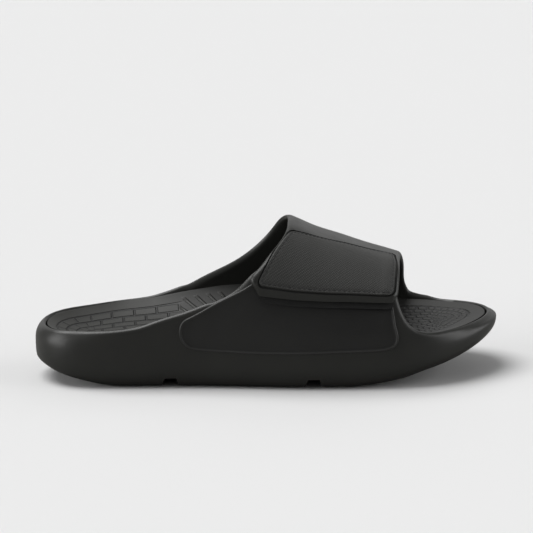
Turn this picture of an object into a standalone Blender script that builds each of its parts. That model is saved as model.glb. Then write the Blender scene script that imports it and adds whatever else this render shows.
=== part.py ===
"""Sport slide sandal, right shoe, in moulded foam with a wrap-over strap.

Metres. +X points to the toe, +Y to the medial (big toe) side and +Z up. The origin is on the floor,
under the middle of the shoe's length and width. Every form is worked out from one last: a sole
outline in plan, and a dome over the instep whose section turns from the medial base (0 degrees) over
the crest (90) to the lateral base (180). Lengths below run from the heel, as shares of LENGTH.
"""

import math

import bmesh
import bpy
import numpy as np

MM = 0.001

# Driving dimensions
LENGTH = 290 * MM
BALL_WIDTH = 106 * MM
RIM_HEIGHT = 35 * MM
INSTEP_HEIGHT = 99 * MM
SHOULDER_HEIGHT = 20 * MM
TOE_SPRING = 25 * MM
HEEL_LIFT = 13 * MM
BOTTOM_INSET = 8.5 * MM
RIM_LEAN = 2.8 * MM
EDGE_ROUND = 2.0 * MM
FLAP_BEVEL = 3.0 * MM
BASE_WALL = 4.4 * MM
STRAP_WALL = 3.6 * MM
TAB_WALL = 3.0 * MM
FOOTBED_THICKNESS = 6 * MM
PANEL_THICKNESS = 0.9 * MM
PAD_THICKNESS = 0.9 * MM
INSET_DEPTH = 1.0 * MM
INSET_PROUD = 0.2 * MM
GROOVE_WIDTH = 12 * MM
GROOVE_TOP = 7 * MM
GROOVE_HEIGHT = 6.5 * MM
GAP = 0.3 * MM
SEAT_CLEARANCE = 0.45 * MM
SEAT_EASE = 0.3 * MM
CUTTER_REACH = 1 * MM
# 2 is an ellipse, more is a squarer instep
DOME_POWER = 2.2

# Stations from heel to toe on each side, and rows up the two halves of the upper, as shares of their edges
STATIONS = 44
STRAP_ROWS = (
    0.06, 0.13, 0.2, 0.27, 0.34, 0.41, 0.47, 0.53, 0.59,
    0.65, 0.71, 0.77, 0.83, 0.88, 0.925, 0.96, 0.985, 1,
)
TAB_ROWS = (0.12, 0.24, 0.36, 0.48, 0.6, 0.72, 0.84, 0.94, 1)

# Sole outline at its widest level, from the heel's back round the lateral side, the toe and the medial
# side: share of the length, share of the ball width from the middle line
OUTLINE = (
    (0.000, 0.010), (0.034, -0.250), (0.135, -0.352), (0.328, -0.388), (0.517, -0.468),
    (0.690, -0.502), (0.821, -0.466), (0.903, -0.350), (0.969, -0.165), (1.000, 0.045),
    (0.981, 0.265), (0.921, 0.402), (0.810, 0.480), (0.707, 0.500), (0.517, 0.425),
    (0.328, 0.382), (0.138, 0.377), (0.036, 0.255),
)
OUTLINE_SAMPLES = 1440
# Where the stations fan out from at the heel and at the toe
HEEL_POLE, TOE_POLE = 0.13, 0.86

# Length share, height of the underside as a share of HEEL_LIFT or of TOE_SPRING
HEEL_ROCKER = (
    (0, 1.0), (0.014, 0.89), (0.045, 0.61), (0.080, 0.38), (0.117, 0.17), (0.150, 0.04), (0.185, 0),
)
TOE_ROCKER = (
    (0.672, 0), (0.741, 0.10), (0.783, 0.20), (0.821, 0.335), (0.879, 0.50), (0.931, 0.68),
    (0.969, 0.85), (1, 1),
)
# Length share, share of RIM_HEIGHT
RIM = (
    (0, 0.995), (0.05, 1.025), (0.12, 1.05), (0.2, 1.085), (0.35, 1.08), (0.7, 1.03), (0.81, 0.985),
    (0.85, 0.965), (0.9, 0.966), (0.96, 0.98), (1, 1),
)
# Length share, share of BOTTOM_INSET: how far the underside's edge lies inside the outline
UNDERCUT = ((0, 0.15), (0.05, 0.5), (0.12, 0.9), (0.25, 1), (0.75, 1), (0.9, 0.8), (1, 0.5))
# Length share, share of the wall's height where it is widest
RIDGE = ((0, 0.5), (0.15, 0.42), (0.3, 0.37), (0.75, 0.37), (0.88, 0.46), (0.95, 0.55), (1, 0.62))
# Length share, share of INSTEP_HEIGHT: the dome's crest, which goes on past both openings
CREST = (
    (0, 1.70), (0.2, 1.66), (0.28, 1.56), (0.345, 1.43), (0.414, 1.28), (0.483, 1.125), (0.517, 1.055),
    (0.546, 1.0), (0.569, 0.968), (0.607, 0.915), (0.662, 0.858), (0.714, 0.802), (0.777, 0.743),
    (0.814, 0.705), (0.862, 0.66), (1, 0.55),
)
# The crest's place across, share of BALL_WIDTH
CREST_SIDE = 0.045

# Edges of the upper above the rim: length share, turn round the section in degrees
STRAP_REAR = (
    (0.249, 6.8), (0.286, 8.3), (0.337, 11.5), (0.391, 17.1), (0.446, 24.5), (0.480, 32.5),
    (0.514, 46.7), (0.534, 64.8), (0.546, 90), (0.538, 104), (0.514, 126.5), (0.4847, 139.2),
    (0.4598, 148), (0.4475, 152.8), (0.452, 155.2), (0.468, 156.2),
)
STRAP_FRONT = (
    (0.833, 19.6), (0.821, 25), (0.815, 37), (0.812, 51), (0.802, 72), (0.793, 90), (0.783, 105),
    (0.774, 119), (0.769, 130), (0.7645, 140.5), (0.7605, 144.4), (0.752, 146.2),
)
TAB_REAR = (
    (0.204, 173.7), (0.259, 171.4), (0.312, 168.7), (0.366, 164.4), (0.421, 157.5), (0.449, 150.5),
    (0.479, 143), (0.510, 136), (0.540, 132.5),
)
TAB_FRONT = (
    (0.809, 163), (0.790, 158.7), (0.778, 152.1), (0.770, 143), (0.765, 133.6), (0.755, 127.5),
    (0.741, 126),
)
# Where the strap and the tab rise from the rim, and where their low edges, which the rim's own line
# follows, turn up into sheets
STRAP_SPAN, TAB_SPAN = (0.205, 0.852), (0.155, 0.838)
STRAP_LEAVES, TAB_LEAVES = (0.337, 0.833), (0.366, 0.809)
# Length share kept clear on each side of where they rise and turn up
RISE_ROOM, TURN_ROOM = 0.03, 0.01
# Length share over which the rim's lean runs out beyond the upper
LEAN_FADE = 0.09

# Turn in degrees, share of the flap's lift over the dome
FLAP_RISE = ((0, 0), (90, 0), (103, 0.22), (117, 0.8), (127, 1), (180, 1))
# Turn in degrees from the base, wall thickness as a share from BASE_WALL to STRAP_WALL or TAB_WALL
WALL_TAPER = ((0, 0), (20, 0.35), (55, 1), (180, 1))

# Length share, share of RIM_HEIGHT: top of the footbed at its middle and at its two edges
BED_MIDDLE = (
    (0, 0.80), (0.14, 0.76), (0.28, 0.81), (0.38, 0.86), (0.52, 0.84), (0.69, 0.77), (0.82, 0.80),
    (0.9, 0.855), (0.95, 0.90), (1, 0.93),
)
BED_LATERAL = (
    (0, 0.965), (0.05, 0.99), (0.12, 1.015), (0.2, 1.03), (0.3, 1.03), (0.6, 0.99), (0.8, 0.935),
    (0.9, 0.93), (1, 0.965),
)
BED_MEDIAL = (
    (0, 0.965), (0.05, 0.99), (0.12, 1.02), (0.2, 1.07), (0.249, 1.11), (0.286, 1.17),
    (0.345, 1.26), (0.43, 1.34), (0.469, 1.345), (0.534, 1.31), (0.62, 1.16), (0.71, 1.02),
    (0.82, 0.945), (0.9, 0.93), (1, 0.965),
)
# Rings of the footbed from its spine to its edge, and how steeply its cup rises
BED_RINGS = (0.45, 0.7, 0.88)
BED_POWER = 2.6

# Raised panel on the lateral wall: length share, share of the dome's height over its shoulder. Its top
# lies under the flap
PANEL_OUTLINE = (
    (0.753, 0.57), (0.760, 0.335), (0.764, 0.21), (0.758, 0.135), (0.739, 0.088), (0.699, 0.068),
    (0.544, 0.037), (0.419, 0.031), (0.347, 0.037), (0.315, 0.054), (0.303, 0.084), (0.299, 0.125),
    (0.306, 0.175), (0.323, 0.205), (0.384, 0.315), (0.450, 0.464), (0.490, 0.587), (0.58, 0.673),
    (0.70, 0.695), (0.742, 0.683),
)
PANEL_POINTS = 84
# Its two faces' rings, from the middle line to the outline, and the middle line's two ends and steps
PANEL_RINGS = (0.0, 0.3, 0.6, 0.85, 1.0)
PANEL_SPINE = ((0.385, 0.12), (0.685, 0.30))
PANEL_STEPS = 12

# Patches on the flap: length share and turn of their rear top, front top, front low and rear low
# corners, how far down the corners are round, and the columns and rows of each patch
INSET_CORNERS = ((0.536, 117), (0.774, 96), (0.7535, 144.0), (0.461, 154.4))
PAD_CORNERS = ((0.512, 138), (0.745, 131), (0.754, 151.0), (0.466, 160.4))
PATCH_ROUND = 0.1
PATCH_COLUMNS = 12
PATCH_ROWS = (0.0, 0.03, 0.1, 0.26, 0.42, 0.58, 0.74, 0.9, 0.97, 1.0)
# Grooves across the underside
GROOVES = (0.281, 0.584)
# The edge of the rim and of the upper, as depths into the wall: its outer face, its top, its inner face
RIM_RINGS = {"rim_out": 0.0, "rim_top": 0.5, "rim_in": 1.0}
# Steps over which slopes are measured: length, degrees and share of an edge
STEP_X, STEP_TURN, STEP_SHARE = 1 * MM, 1.0, 0.002

FLAP_LIFT = PANEL_THICKNESS + PAD_THICKNESS + 3 * GAP + STRAP_WALL
PANEL_STAND = PANEL_THICKNESS + GAP


def smooth_curve(points):
    """A natural cubic through the points by chord length, share 0 to 1, and the points' own shares."""
    points = np.array(points, float)
    chord = np.linalg.norm(np.diff(points, axis=0), axis=1)
    knots = np.concatenate([[0], np.cumsum(chord)]) / chord.sum()
    step, count = np.diff(knots), len(points)
    matrix, right = np.eye(count), np.zeros_like(points)
    for i in range(1, count - 1):
        matrix[i, i - 1 : i + 2] = step[i - 1], 2 * (step[i - 1] + step[i]), step[i]
        right[i] = 3 * ((points[i + 1] - points[i]) / step[i] - (points[i] - points[i - 1]) / step[i - 1])
    bend = np.linalg.solve(matrix, right)

    def at(share):
        i = int(np.clip(np.searchsorted(knots, share) - 1, 0, count - 2))
        t, h = share - knots[i], step[i]
        slope = (points[i + 1] - points[i]) / h - h * (2 * bend[i] + bend[i + 1]) / 3
        return points[i] + t * (slope + t * (bend[i] + t * (bend[i + 1] - bend[i]) / (3 * h)))

    return at, knots


def closed_curve(points, samples):
    """Samples of a smooth closed curve through the points, starting at the first."""
    wrap, count = 4, len(points)
    at, knots = smooth_curve(list(points[-wrap:]) + list(points) + list(points[: wrap + 1]))
    start, end = knots[wrap], knots[wrap + count]
    return np.array([at(start + (end - start) * i / samples) for i in range(samples)])


def table(rows, x_size=1.0, y_size=1.0):
    """A smooth line through the rows that never overshoots them: x to y."""
    x = np.array([row[0] for row in rows]) * x_size
    y = np.array([row[1] for row in rows]) * y_size
    step = np.diff(x)
    slope = np.diff(y) / step
    tangent = np.zeros_like(y)
    for i in range(1, len(x) - 1):
        if slope[i - 1] * slope[i] > 0:
            before, after = 2 * step[i] + step[i - 1], step[i] + 2 * step[i - 1]
            tangent[i] = (before + after) / (before / slope[i - 1] + after / slope[i])
    tangent[0], tangent[-1] = slope[0], slope[-1]

    def at(value):
        i = int(np.clip(np.searchsorted(x, value) - 1, 0, len(step) - 1))
        t = min(max((value - x[i]) / step[i], 0.0), 1.0)
        ends = (1 + 2 * t) * (1 - t) ** 2 * y[i] + t * t * (3 - 2 * t) * y[i + 1]
        return float(ends + step[i] * t * (1 - t) * ((1 - t) * tangent[i] - t * tangent[i + 1]))

    return at


def mix(low, high, share):
    return low + (high - low) * share


heel_rocker = table(HEEL_ROCKER, LENGTH, HEEL_LIFT)
toe_rocker = table(TOE_ROCKER, LENGTH, TOE_SPRING)
rim = table(RIM, LENGTH, RIM_HEIGHT)
undercut = table(UNDERCUT, LENGTH, BOTTOM_INSET)
ridge = table(RIDGE, LENGTH)
crest = table(CREST, LENGTH, INSTEP_HEIGHT)
flap_rise = table(FLAP_RISE, 1, FLAP_LIFT)
wall_taper = table(WALL_TAPER)
bed_middle = table(BED_MIDDLE, LENGTH, RIM_HEIGHT)
bed_edge = {side: table(rows, LENGTH, RIM_HEIGHT) for side, rows in ((-1, BED_LATERAL), (1, BED_MEDIAL))}


def outline_sides():
    """The outline's two sides, lateral -1 and medial 1, as x and y from heel to toe.

    It has the exact length, and the exact width once the side panel stands on its lateral side.
    """
    ring = closed_curve([(x * LENGTH, y * BALL_WIDTH) for x, y in OUTLINE], OUTLINE_SAMPLES)
    low, high = ring.min(axis=0), ring.max(axis=0)
    ring = (ring - low) / (high - low) * (LENGTH, BALL_WIDTH - PANEL_STAND)
    ring[:, 1] -= BALL_WIDTH / 2 - PANEL_STAND
    ring = np.roll(ring, -int(ring[:, 0].argmin()), axis=0)
    toe = int(ring[:, 0].argmax())
    return {-1: ring[: toe + 1], 1: np.vstack([ring[toe:], ring[:1]])[::-1]}


SIDES = outline_sides()
CREST_Y = CREST_SIDE * BALL_WIDTH


def side_y(side, x):
    return float(np.interp(x, SIDES[side][:, 0], SIDES[side][:, 1]))


def middle_y(x):
    return (side_y(-1, x) + side_y(1, x)) / 2


def stations():
    """Lengths along the shoe that are evenly spaced round the lateral side."""
    path = SIDES[-1]
    walked = np.concatenate([[0], np.cumsum(np.linalg.norm(np.diff(path, axis=0), axis=1))])
    return np.interp(np.linspace(0, walked[-1], STATIONS + 1), walked, path[:, 0])


STATION_X = stations()
COLUMNS = 2 * STATIONS


def column_side(column):
    return -1 if column <= STATIONS else 1


def column_x(column):
    return float(STATION_X[column if column <= STATIONS else COLUMNS - column])


def spine(column):
    x = min(max(column_x(column), HEEL_POLE * LENGTH), TOE_POLE * LENGTH)
    return np.array([x, middle_y(x)])


def inset_point(column, inset):
    """The point of the outline at this column, moved in towards the spine."""
    x = column_x(column)
    edge = np.array([x, side_y(column_side(column), x)])
    inward = spine(column) - edge
    return edge + inward * inset / np.linalg.norm(inward)


def underside(x):
    return heel_rocker(x) + toe_rocker(x)


def dome(x, turn):
    """A point of the instep's dome."""
    angle = math.radians(turn)
    side = 1 if turn < 90 else -1
    across = abs(math.cos(angle)) ** (2 / DOME_POWER)
    up = abs(math.sin(angle)) ** (2 / DOME_POWER)
    height = SHOULDER_HEIGHT + (crest(x) - SHOULDER_HEIGHT) * up
    return np.array([x, mix(CREST_Y, side_y(side, x), across), height])


def turn_at(side, x, z):
    """The turn at which the dome reaches this height."""
    share = min(max((z - SHOULDER_HEIGHT) / (crest(x) - SHOULDER_HEIGHT), 0.0), 1.0)
    turn = math.degrees(math.asin(share ** (DOME_POWER / 2)))
    return turn if side == 1 else 180 - turn


def layer(x, turn, lift):
    """A point that lies over the dome by lift, along its normal."""
    along = dome(x + STEP_X, turn) - dome(x - STEP_X, turn)
    around = dome(x, min(turn + STEP_TURN, 180)) - dome(x, max(turn - STEP_TURN, 0))
    normal = np.cross(around, along)
    return dome(x, turn) + normal * lift / np.linalg.norm(normal)


def rim_line(span, leaves, rear, front):
    """Height of the rim on one side, up to where the upper turns up behind and in front."""
    behind = [(share, part * RIM_HEIGHT) for share, part in RIM if share < span[0] - RISE_ROOM]
    behind += [(share, dome(share * LENGTH, turn)[2]) for share, turn in rear if share <= leaves[0]]
    ahead = [(share, dome(share * LENGTH, turn)[2]) for share, turn in front if share >= leaves[1]]
    ahead = ahead[::-1] + [(share, part * RIM_HEIGHT) for share, part in RIM if share > span[1]]
    return table(behind, LENGTH), table(ahead, LENGTH)


def wall_thickness(side, turn):
    from_base = turn if side == 1 else 180 - turn
    return mix(BASE_WALL, STRAP_WALL if side == 1 else TAB_WALL, wall_taper(from_base))


def nearest_column(side, share):
    index = int(np.abs(STATION_X - share * LENGTH).argmin())
    return index if side == -1 else COLUMNS - index


class Wing:
    """One half of the upper: the strap, from the medial rim, or the tab, from the lateral rim."""

    def __init__(self, side, span, leaves, rear, front, rows):
        self.side = side
        self.rows = (0.0,) + rows
        self.lift = flap_rise if side == 1 else (lambda turn: 0.0)
        self.span = span[0] * LENGTH, span[1] * LENGTH
        self.rims = rim_line(span, leaves, rear, front)
        self.first, self.last = nearest_column(side, leaves[0]), nearest_column(side, leaves[1])
        self.ends = column_x(self.first), column_x(self.last)
        rear = [row for row in rear if row[0] > leaves[0] + TURN_ROOM]
        front = [row for row in front if row[0] < leaves[1] - TURN_ROOM / 2]
        self.edges = [self.edge(0, rear), self.edge(1, front)]

    def edge(self, end, rows):
        """The rear edge, end 0, or the front edge, end 1, from the rim up, as length and girth."""
        x = self.ends[end]
        start = [(x, turn_at(self.side, x, self.rims[end](x)) * self.girth())]
        return smooth_curve(start + [(share * LENGTH, turn * self.girth()) for share, turn in rows])[0]

    def girth(self):
        """Metres round the section for each degree."""
        return math.radians(BALL_WIDTH / 2)

    def edge_point(self, end, share, inset):
        """Length and turn on the rear edge, end 0, or the front edge, end 1, moved in by inset."""
        before, after = max(share - STEP_SHARE, 0), min(share + STEP_SHARE, 1)
        low, high = self.edges[end](before), self.edges[end](after)
        dx, dg = (high - low) / np.linalg.norm(high - low)
        flip = 1 if (end == 0) == (self.side == 1) else -1
        x, girth = self.edges[end](share) + inset * flip * np.array([dg, -dx])
        return np.array([x, girth / self.girth()])

    def across(self, column):
        return (column_x(column) - self.ends[0]) / (self.ends[1] - self.ends[0])

    def columns(self):
        step = 1 if self.last > self.first else -1
        return list(range(self.first, self.last + step, step))

    def sheet_point(self, column, row, inset=EDGE_ROUND):
        """Length and turn where this column crosses this row."""
        share = self.rows[row]
        ends = [self.edge_point(end, share, inset) for end in (0, 1)]
        return mix(ends[0], ends[1], self.across(column))

    def point(self, column, row, ring):
        """Place of a vertex of the upper: on its outer face, on its inner face or on its rounded edge."""
        on_edge = ring == "rim_top"
        x, turn = self.sheet_point(column, row, 0 if on_edge else EDGE_ROUND)
        depth = RIM_RINGS[ring]
        lift = self.lift(turn) - depth * self.thickness(turn)
        if on_edge and row == len(self.rows) - 1:
            turn += (1 if self.side == 1 else -1) * FLAP_BEVEL / self.girth()
        return layer(x, turn, lift)

    def thickness(self, turn):
        return wall_thickness(self.side, turn)


STRAP = Wing(1, STRAP_SPAN, STRAP_LEAVES, STRAP_REAR, STRAP_FRONT, STRAP_ROWS)
TAB = Wing(-1, TAB_SPAN, TAB_LEAVES, TAB_REAR, TAB_FRONT, TAB_ROWS)
WINGS = {1: STRAP, -1: TAB}


def rim_at(column):
    """Height of the rim at this column, or of the upper's own lowest row."""
    wing, x = WINGS[column_side(column)], column_x(column)
    if wing.ends[0] < x < wing.ends[1]:
        return dome(*wing.sheet_point(column, 0, 0))[2]
    return wing.rims[x >= wing.ends[1]](x)


def rim_lean(column):
    """How far the rim lies inside the outline: the dome's own lean where the upper leaves it."""
    wing, x = WINGS[column_side(column)], column_x(column)
    turn = turn_at(wing.side, x, rim(x) - EDGE_ROUND)
    domed = abs(side_y(wing.side, x) - dome(x, turn)[1])
    away = max(wing.span[0] - x, x - wing.span[1], 0) / (LEAN_FADE * LENGTH)
    ease = max(1 - away, 0) ** 2 * (1 + 2 * min(away, 1))
    return mix(RIM_LEAN, domed, ease)


def seat_inset(column):
    return rim_lean(column) + BASE_WALL + SEAT_EASE


def seat_point(column, share, inset):
    """A point of the basin's floor, from the spine, share 0, to its edge, share 1."""
    edge = inset_point(column, inset)
    x, y = mix(spine(column), edge, share)
    low = bed_middle(x) - FOOTBED_THICKNESS
    high = bed_edge[-1](column_x(column)) - FOOTBED_THICKNESS
    return np.array([x, y, mix(low, high, share**BED_POWER)])


# The sole's rings from the underside's spine round the side and the rim to the basin's spine. The
# first lies on the underside, at this share from the spine to its edge
BOTTOM_SHARE = 0.55
# Inset as a share of the undercut, height as a share from the underside to the ridge
LOWER_RINGS = {
    "bottom_edge": (1.0, 0.0), "tuck_low": (0.47, 0.09), "tuck": (0.16, 0.36), "tuck_high": (0.03, 0.7),
}
# Height as a share from the ridge to the rim, inset as a share of the rim's lean
LEAN = table(((0, 0), (0.33, 0.05), (0.68, 0.35), (1, 1)))
# Rings of the wall's outer face and of its inner face, as shares of their heights
OUTER_RINGS = {"ridge": 0.0, "wall_low": 0.27, "wall_middle": 0.52, "wall_high": 0.76}
INNER_RINGS = {"inner_high": 0.6, "inner_low": 0.3}
SEAT_RINGS = {"seat_edge": 1.0, "seat_wide": 0.75, "seat_narrow": 0.4, "seat_spine": 0.0}
RINGS = (
    "bottom_spine", "bottom_in", *LOWER_RINGS, *OUTER_RINGS, *RIM_RINGS, *INNER_RINGS, *SEAT_RINGS,
)


def ridge_height(x):
    return mix(underside(x), rim(x), ridge(x))


def wall_point(column, z, depth):
    """A point of the wall at a height, from its outer face, depth 0, to its inner face, depth 1."""
    x, wing = column_x(column), WINGS[column_side(column)]
    domed = rim(x) - EDGE_ROUND
    if z >= domed and wing.span[0] <= x <= wing.span[1]:
        turn = turn_at(wing.side, x, z)
        return layer(x, turn, -depth * wing.thickness(turn))
    share = min(max((z - ridge_height(x)) / (domed - ridge_height(x)), 0), 1)
    px, py = inset_point(column, LEAN(share) * rim_lean(column) + depth * BASE_WALL)
    return np.array([px, py, z])


def sole_point(column, ring):
    x = column_x(column)
    if ring in ("bottom_spine", "bottom_in"):
        share = 0.0 if ring == "bottom_spine" else BOTTOM_SHARE
        px, py = mix(spine(column), inset_point(column, undercut(x)), share)
        return np.array([px, py, underside(px)])
    if ring in LOWER_RINGS:
        inset, height = LOWER_RINGS[ring]
        px, py = inset_point(column, inset * undercut(x))
        return np.array([px, py, mix(underside(px), ridge_height(x), height)])
    top = rim_at(column) - EDGE_ROUND
    if ring in OUTER_RINGS:
        return wall_point(column, mix(ridge_height(x), top, OUTER_RINGS[ring]), 0)
    if ring in RIM_RINGS:
        return wall_point(column, top, RIM_RINGS[ring]) + (0, 0, EDGE_ROUND if ring == "rim_top" else 0)
    seat = seat_point(column, SEAT_RINGS.get(ring, 1.0), seat_inset(column))
    if ring in INNER_RINGS:
        return wall_point(column, mix(seat[2], top, INNER_RINGS[ring]), 1)
    return seat


def body_point(column, ring, row):
    """Place of a vertex of the moulded body. Row 0 is the sole, and higher rows are the upper."""
    wing = WINGS[column_side(column)]
    inside = min(wing.first, wing.last) <= column <= max(wing.first, wing.last)
    if ring in RIM_RINGS and inside and (row or ring != "rim_top"):
        return wing.point(column, row, ring)
    return sole_point(column, ring)


def ring_loop(bm, rings, columns):
    """Rows of faces round the shoe. Each vertex keeps its column and its ring."""
    column_layer = bm.verts.layers.int.new("column")
    ring_layer = bm.verts.layers.int.new("ring")
    bm.verts.layers.int.new("row")
    loop = bmesh.ops.create_circle(bm, segments=columns, radius=1)["verts"]
    for column, vertex in enumerate(loop):
        vertex[column_layer] = column
    edges = bm.edges[:]
    for ring in range(1, rings):
        made = bmesh.ops.extrude_edge_only(bm, edges=edges)["geom"]
        edges = [item for item in made if isinstance(item, bmesh.types.BMEdge)]
        for vertex in (item for item in made if isinstance(item, bmesh.types.BMVert)):
            vertex[ring_layer] = ring
        edges = [edge for edge in edges if all(v[ring_layer] == ring for v in edge.verts)]


def raise_wing(bm, wing):
    """Extrudes the rim's faces along a wing, once for each row."""
    column_layer, ring_layer = bm.verts.layers.int["column"], bm.verts.layers.int["ring"]
    row_layer = bm.verts.layers.int["row"]
    allowed, rim_rings = set(wing.columns()), {RINGS.index(ring) for ring in RIM_RINGS}
    faces = [
        face
        for face in bm.faces
        if all(v[column_layer] in allowed and v[ring_layer] in rim_rings for v in face.verts)
    ]
    for row in range(1, len(wing.rows)):
        made = bmesh.ops.extrude_face_region(bm, geom=faces)["geom"]
        bmesh.ops.delete(bm, geom=faces, context="FACES")
        faces = [item for item in made if isinstance(item, bmesh.types.BMFace)]
        for vertex in (item for item in made if isinstance(item, bmesh.types.BMVert)):
            vertex[row_layer] = row


def material(name, color, roughness):
    made = bpy.data.materials.new(name)
    made.use_nodes = True
    shader = made.node_tree.nodes["Principled BSDF"]
    shader.inputs["Base Color"].default_value = (*color, 1)
    shader.inputs["Roughness"].default_value = roughness
    shader.inputs["Metallic"].default_value = 0
    return made


def add_object(name, bm, collection, finish=None):
    """A named object from a finished bmesh, moved from heel-based lengths to the shoe's own origin."""
    bmesh.ops.remove_doubles(bm, verts=bm.verts[:], dist=0.001 * MM)
    bmesh.ops.recalc_face_normals(bm, faces=bm.faces[:])
    bmesh.ops.translate(bm, verts=bm.verts[:], vec=(-LENGTH / 2, 0, 0))
    mesh = bpy.data.meshes.new(name)
    bm.to_mesh(mesh)
    bm.free()
    if finish:
        mesh.materials.append(finish)
        mesh.shade_smooth()
        mesh.set_sharp_from_angle(angle=math.radians(40))
    made = bpy.data.objects.new(name, mesh)
    collection.objects.link(made)
    return made


def add_cutter(name, bm, collection):
    made = add_object(name, bm, collection)
    made.hide_render = True
    made.display_type = "WIRE"
    return made


def boolean(target, cutter, operation):
    modifier = target.modifiers.new(f"{operation.lower()}_{cutter.name}", "BOOLEAN")
    modifier.operation = operation
    modifier.solver = "EXACT"
    modifier.object = cutter


def make_body(collection, finish):
    """The moulded foam body: sole, side walls, tab, strap and flap in one piece."""
    bm = bmesh.new()
    ring_loop(bm, len(RINGS), COLUMNS)
    for wing in WINGS.values():
        raise_wing(bm, wing)
    layers = bm.verts.layers.int
    for vertex in bm.verts:
        column, ring, row = (vertex[layers[name]] for name in ("column", "ring", "row"))
        vertex.co = body_point(column, RINGS[ring], row)
    return add_object("sole_and_upper", bm, collection, finish)


def groove_cutter(share, collection):
    """A bar across the underside, narrower at its top."""
    bm = bmesh.new()
    bmesh.ops.create_cube(bm, size=1)
    for vertex in bm.verts:
        top = vertex.co.z > 0
        vertex.co.x *= GROOVE_TOP if top else GROOVE_WIDTH
        vertex.co.y *= 2 * BALL_WIDTH
        vertex.co.z = GROOVE_HEIGHT if top else -CUTTER_REACH
        vertex.co.x += share * LENGTH
    return add_cutter(f"groove_{round(share * 100)}", bm, collection)


def footbed_point(column, level):
    """Levels run from the top's spine to its edge, down the edge, and back under to the spine."""
    shares = (0.0, *BED_RINGS, 1.0)
    if level < len(shares):
        share = shares[level]
        high = bed_edge[column_side(column)](column_x(column))
        edge = wall_point(column, high, 1)[:2]
        inward = spine(column) - edge
        edge = edge + inward * SEAT_CLEARANCE / np.linalg.norm(inward)
        x, y = mix(spine(column), edge, share)
        return np.array([x, y, mix(bed_middle(x), high, share**BED_POWER)])
    share = shares[::-1][level - len(shares)]
    inset = seat_inset(column) + (SEAT_CLEARANCE if share == 1.0 else 0)
    return seat_point(column, share, inset) + (0, 0, GAP)


def make_footbed(collection, finish):
    """The moulded insole, with its heel cup and its arch."""
    bm = bmesh.new()
    ring_loop(bm, 2 * (len(BED_RINGS) + 2), COLUMNS)
    layers = bm.verts.layers.int
    for vertex in bm.verts:
        vertex.co = footbed_point(vertex[layers["column"]], vertex[layers["ring"]])
    return add_object("footbed", bm, collection, finish)


def slab(columns, rows, place):
    """A closed sheet on a grid. place takes a column, a row, and 0 for its inner face or 1 for its outer."""
    bm = bmesh.new()
    grid = bmesh.ops.create_grid(bm, x_segments=columns, y_segments=rows, size=1)["verts"]
    column_layer, row_layer = bm.verts.layers.int.new("column"), bm.verts.layers.int.new("row")
    face_layer = bm.verts.layers.int.new("face")
    for vertex in bm.verts:
        vertex[column_layer] = round((vertex.co.x + 1) / 2 * columns)
        vertex[row_layer] = round((vertex.co.y + 1) / 2 * rows)
    made = bmesh.ops.extrude_face_region(bm, geom=bm.faces[:])["geom"]
    for vertex in (item for item in made if isinstance(item, bmesh.types.BMVert)):
        vertex[face_layer] = 1
    for vertex in bm.verts:
        vertex.co = place(vertex[column_layer], vertex[row_layer], vertex[face_layer])
    return bm


def lateral_wall(x, z):
    """A point of the lateral wall's outer face."""
    domed = rim(x) - EDGE_ROUND
    if z >= domed:
        return dome(x, turn_at(-1, x, z))
    edge = side_y(-1, x)
    lean = abs(edge - dome(x, turn_at(-1, x, domed))[1])
    share = min(max((z - ridge_height(x)) / (domed - ridge_height(x)), 0), 1)
    return np.array([x, edge + LEAN(share) * lean, z])


def on_wall(x, z, lift):
    """A point over the lateral wall by lift, along its normal."""
    along = lateral_wall(x + STEP_X, z) - lateral_wall(x - STEP_X, z)
    up = lateral_wall(x, z + STEP_X) - lateral_wall(x, z - STEP_X)
    normal = np.cross(along, up)
    return lateral_wall(x, z) + normal * lift / np.linalg.norm(normal)


def panel_spot(share, part):
    """Length and height of a point given as a share of the length and of the dome's height."""
    x = share * LENGTH
    return x, mix(SHOULDER_HEIGHT, crest(x), part)


def make_side_panel(collection, finish):
    """The raised panel, from its inner face's middle line round its outline to its outer face's."""
    outline = closed_curve([panel_spot(*spot) for spot in PANEL_OUTLINE], PANEL_POINTS)
    (rear_x, rear_z), (front_x, front_z) = (panel_spot(*spot) for spot in PANEL_SPINE)
    rings = [(share, GAP) for share in PANEL_RINGS]
    rings += [(share, GAP + PANEL_THICKNESS) for share in PANEL_RINGS[::-1]]
    bm = bmesh.new()
    ring_loop(bm, len(rings), PANEL_POINTS)
    layers = bm.verts.layers.int
    for vertex in bm.verts:
        x, z = outline[vertex[layers["column"]]]
        share, lift = rings[vertex[layers["ring"]]]
        along = min(max((x - rear_x) / (front_x - rear_x), 0), 1)
        if share == 0:
            along = round(along * PANEL_STEPS) / PANEL_STEPS
        middle = mix(np.array([rear_x, rear_z]), np.array([front_x, front_z]), along)
        vertex.co = on_wall(*mix(middle, np.array([x, z]), share), lift)
    return add_object("side_panel", bm, collection, finish)


def patch_spot(corners, across, down, margin):
    """Length and turn on a patch with round corners: across from its rear, down from its top, 0 to 1."""
    pull = 1.0
    for edge in (down, 1 - down):
        if edge < PATCH_ROUND:
            pull = min(pull, 1 - PATCH_ROUND * (1 - math.sqrt(1 - (1 - edge / PATCH_ROUND) ** 2)))
    across = 0.5 + (across - 0.5) * pull
    (rear_top, front_top, front_low, rear_low) = np.array(corners)
    spot = mix(mix(rear_top, rear_low, down), mix(front_top, front_low, down), across)
    spot = spot * (LENGTH, 1)
    degrees = math.degrees(margin / (BALL_WIDTH / 2))
    return spot + ((1 - 2 * across) * margin, (1 - 2 * down) * degrees)


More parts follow.
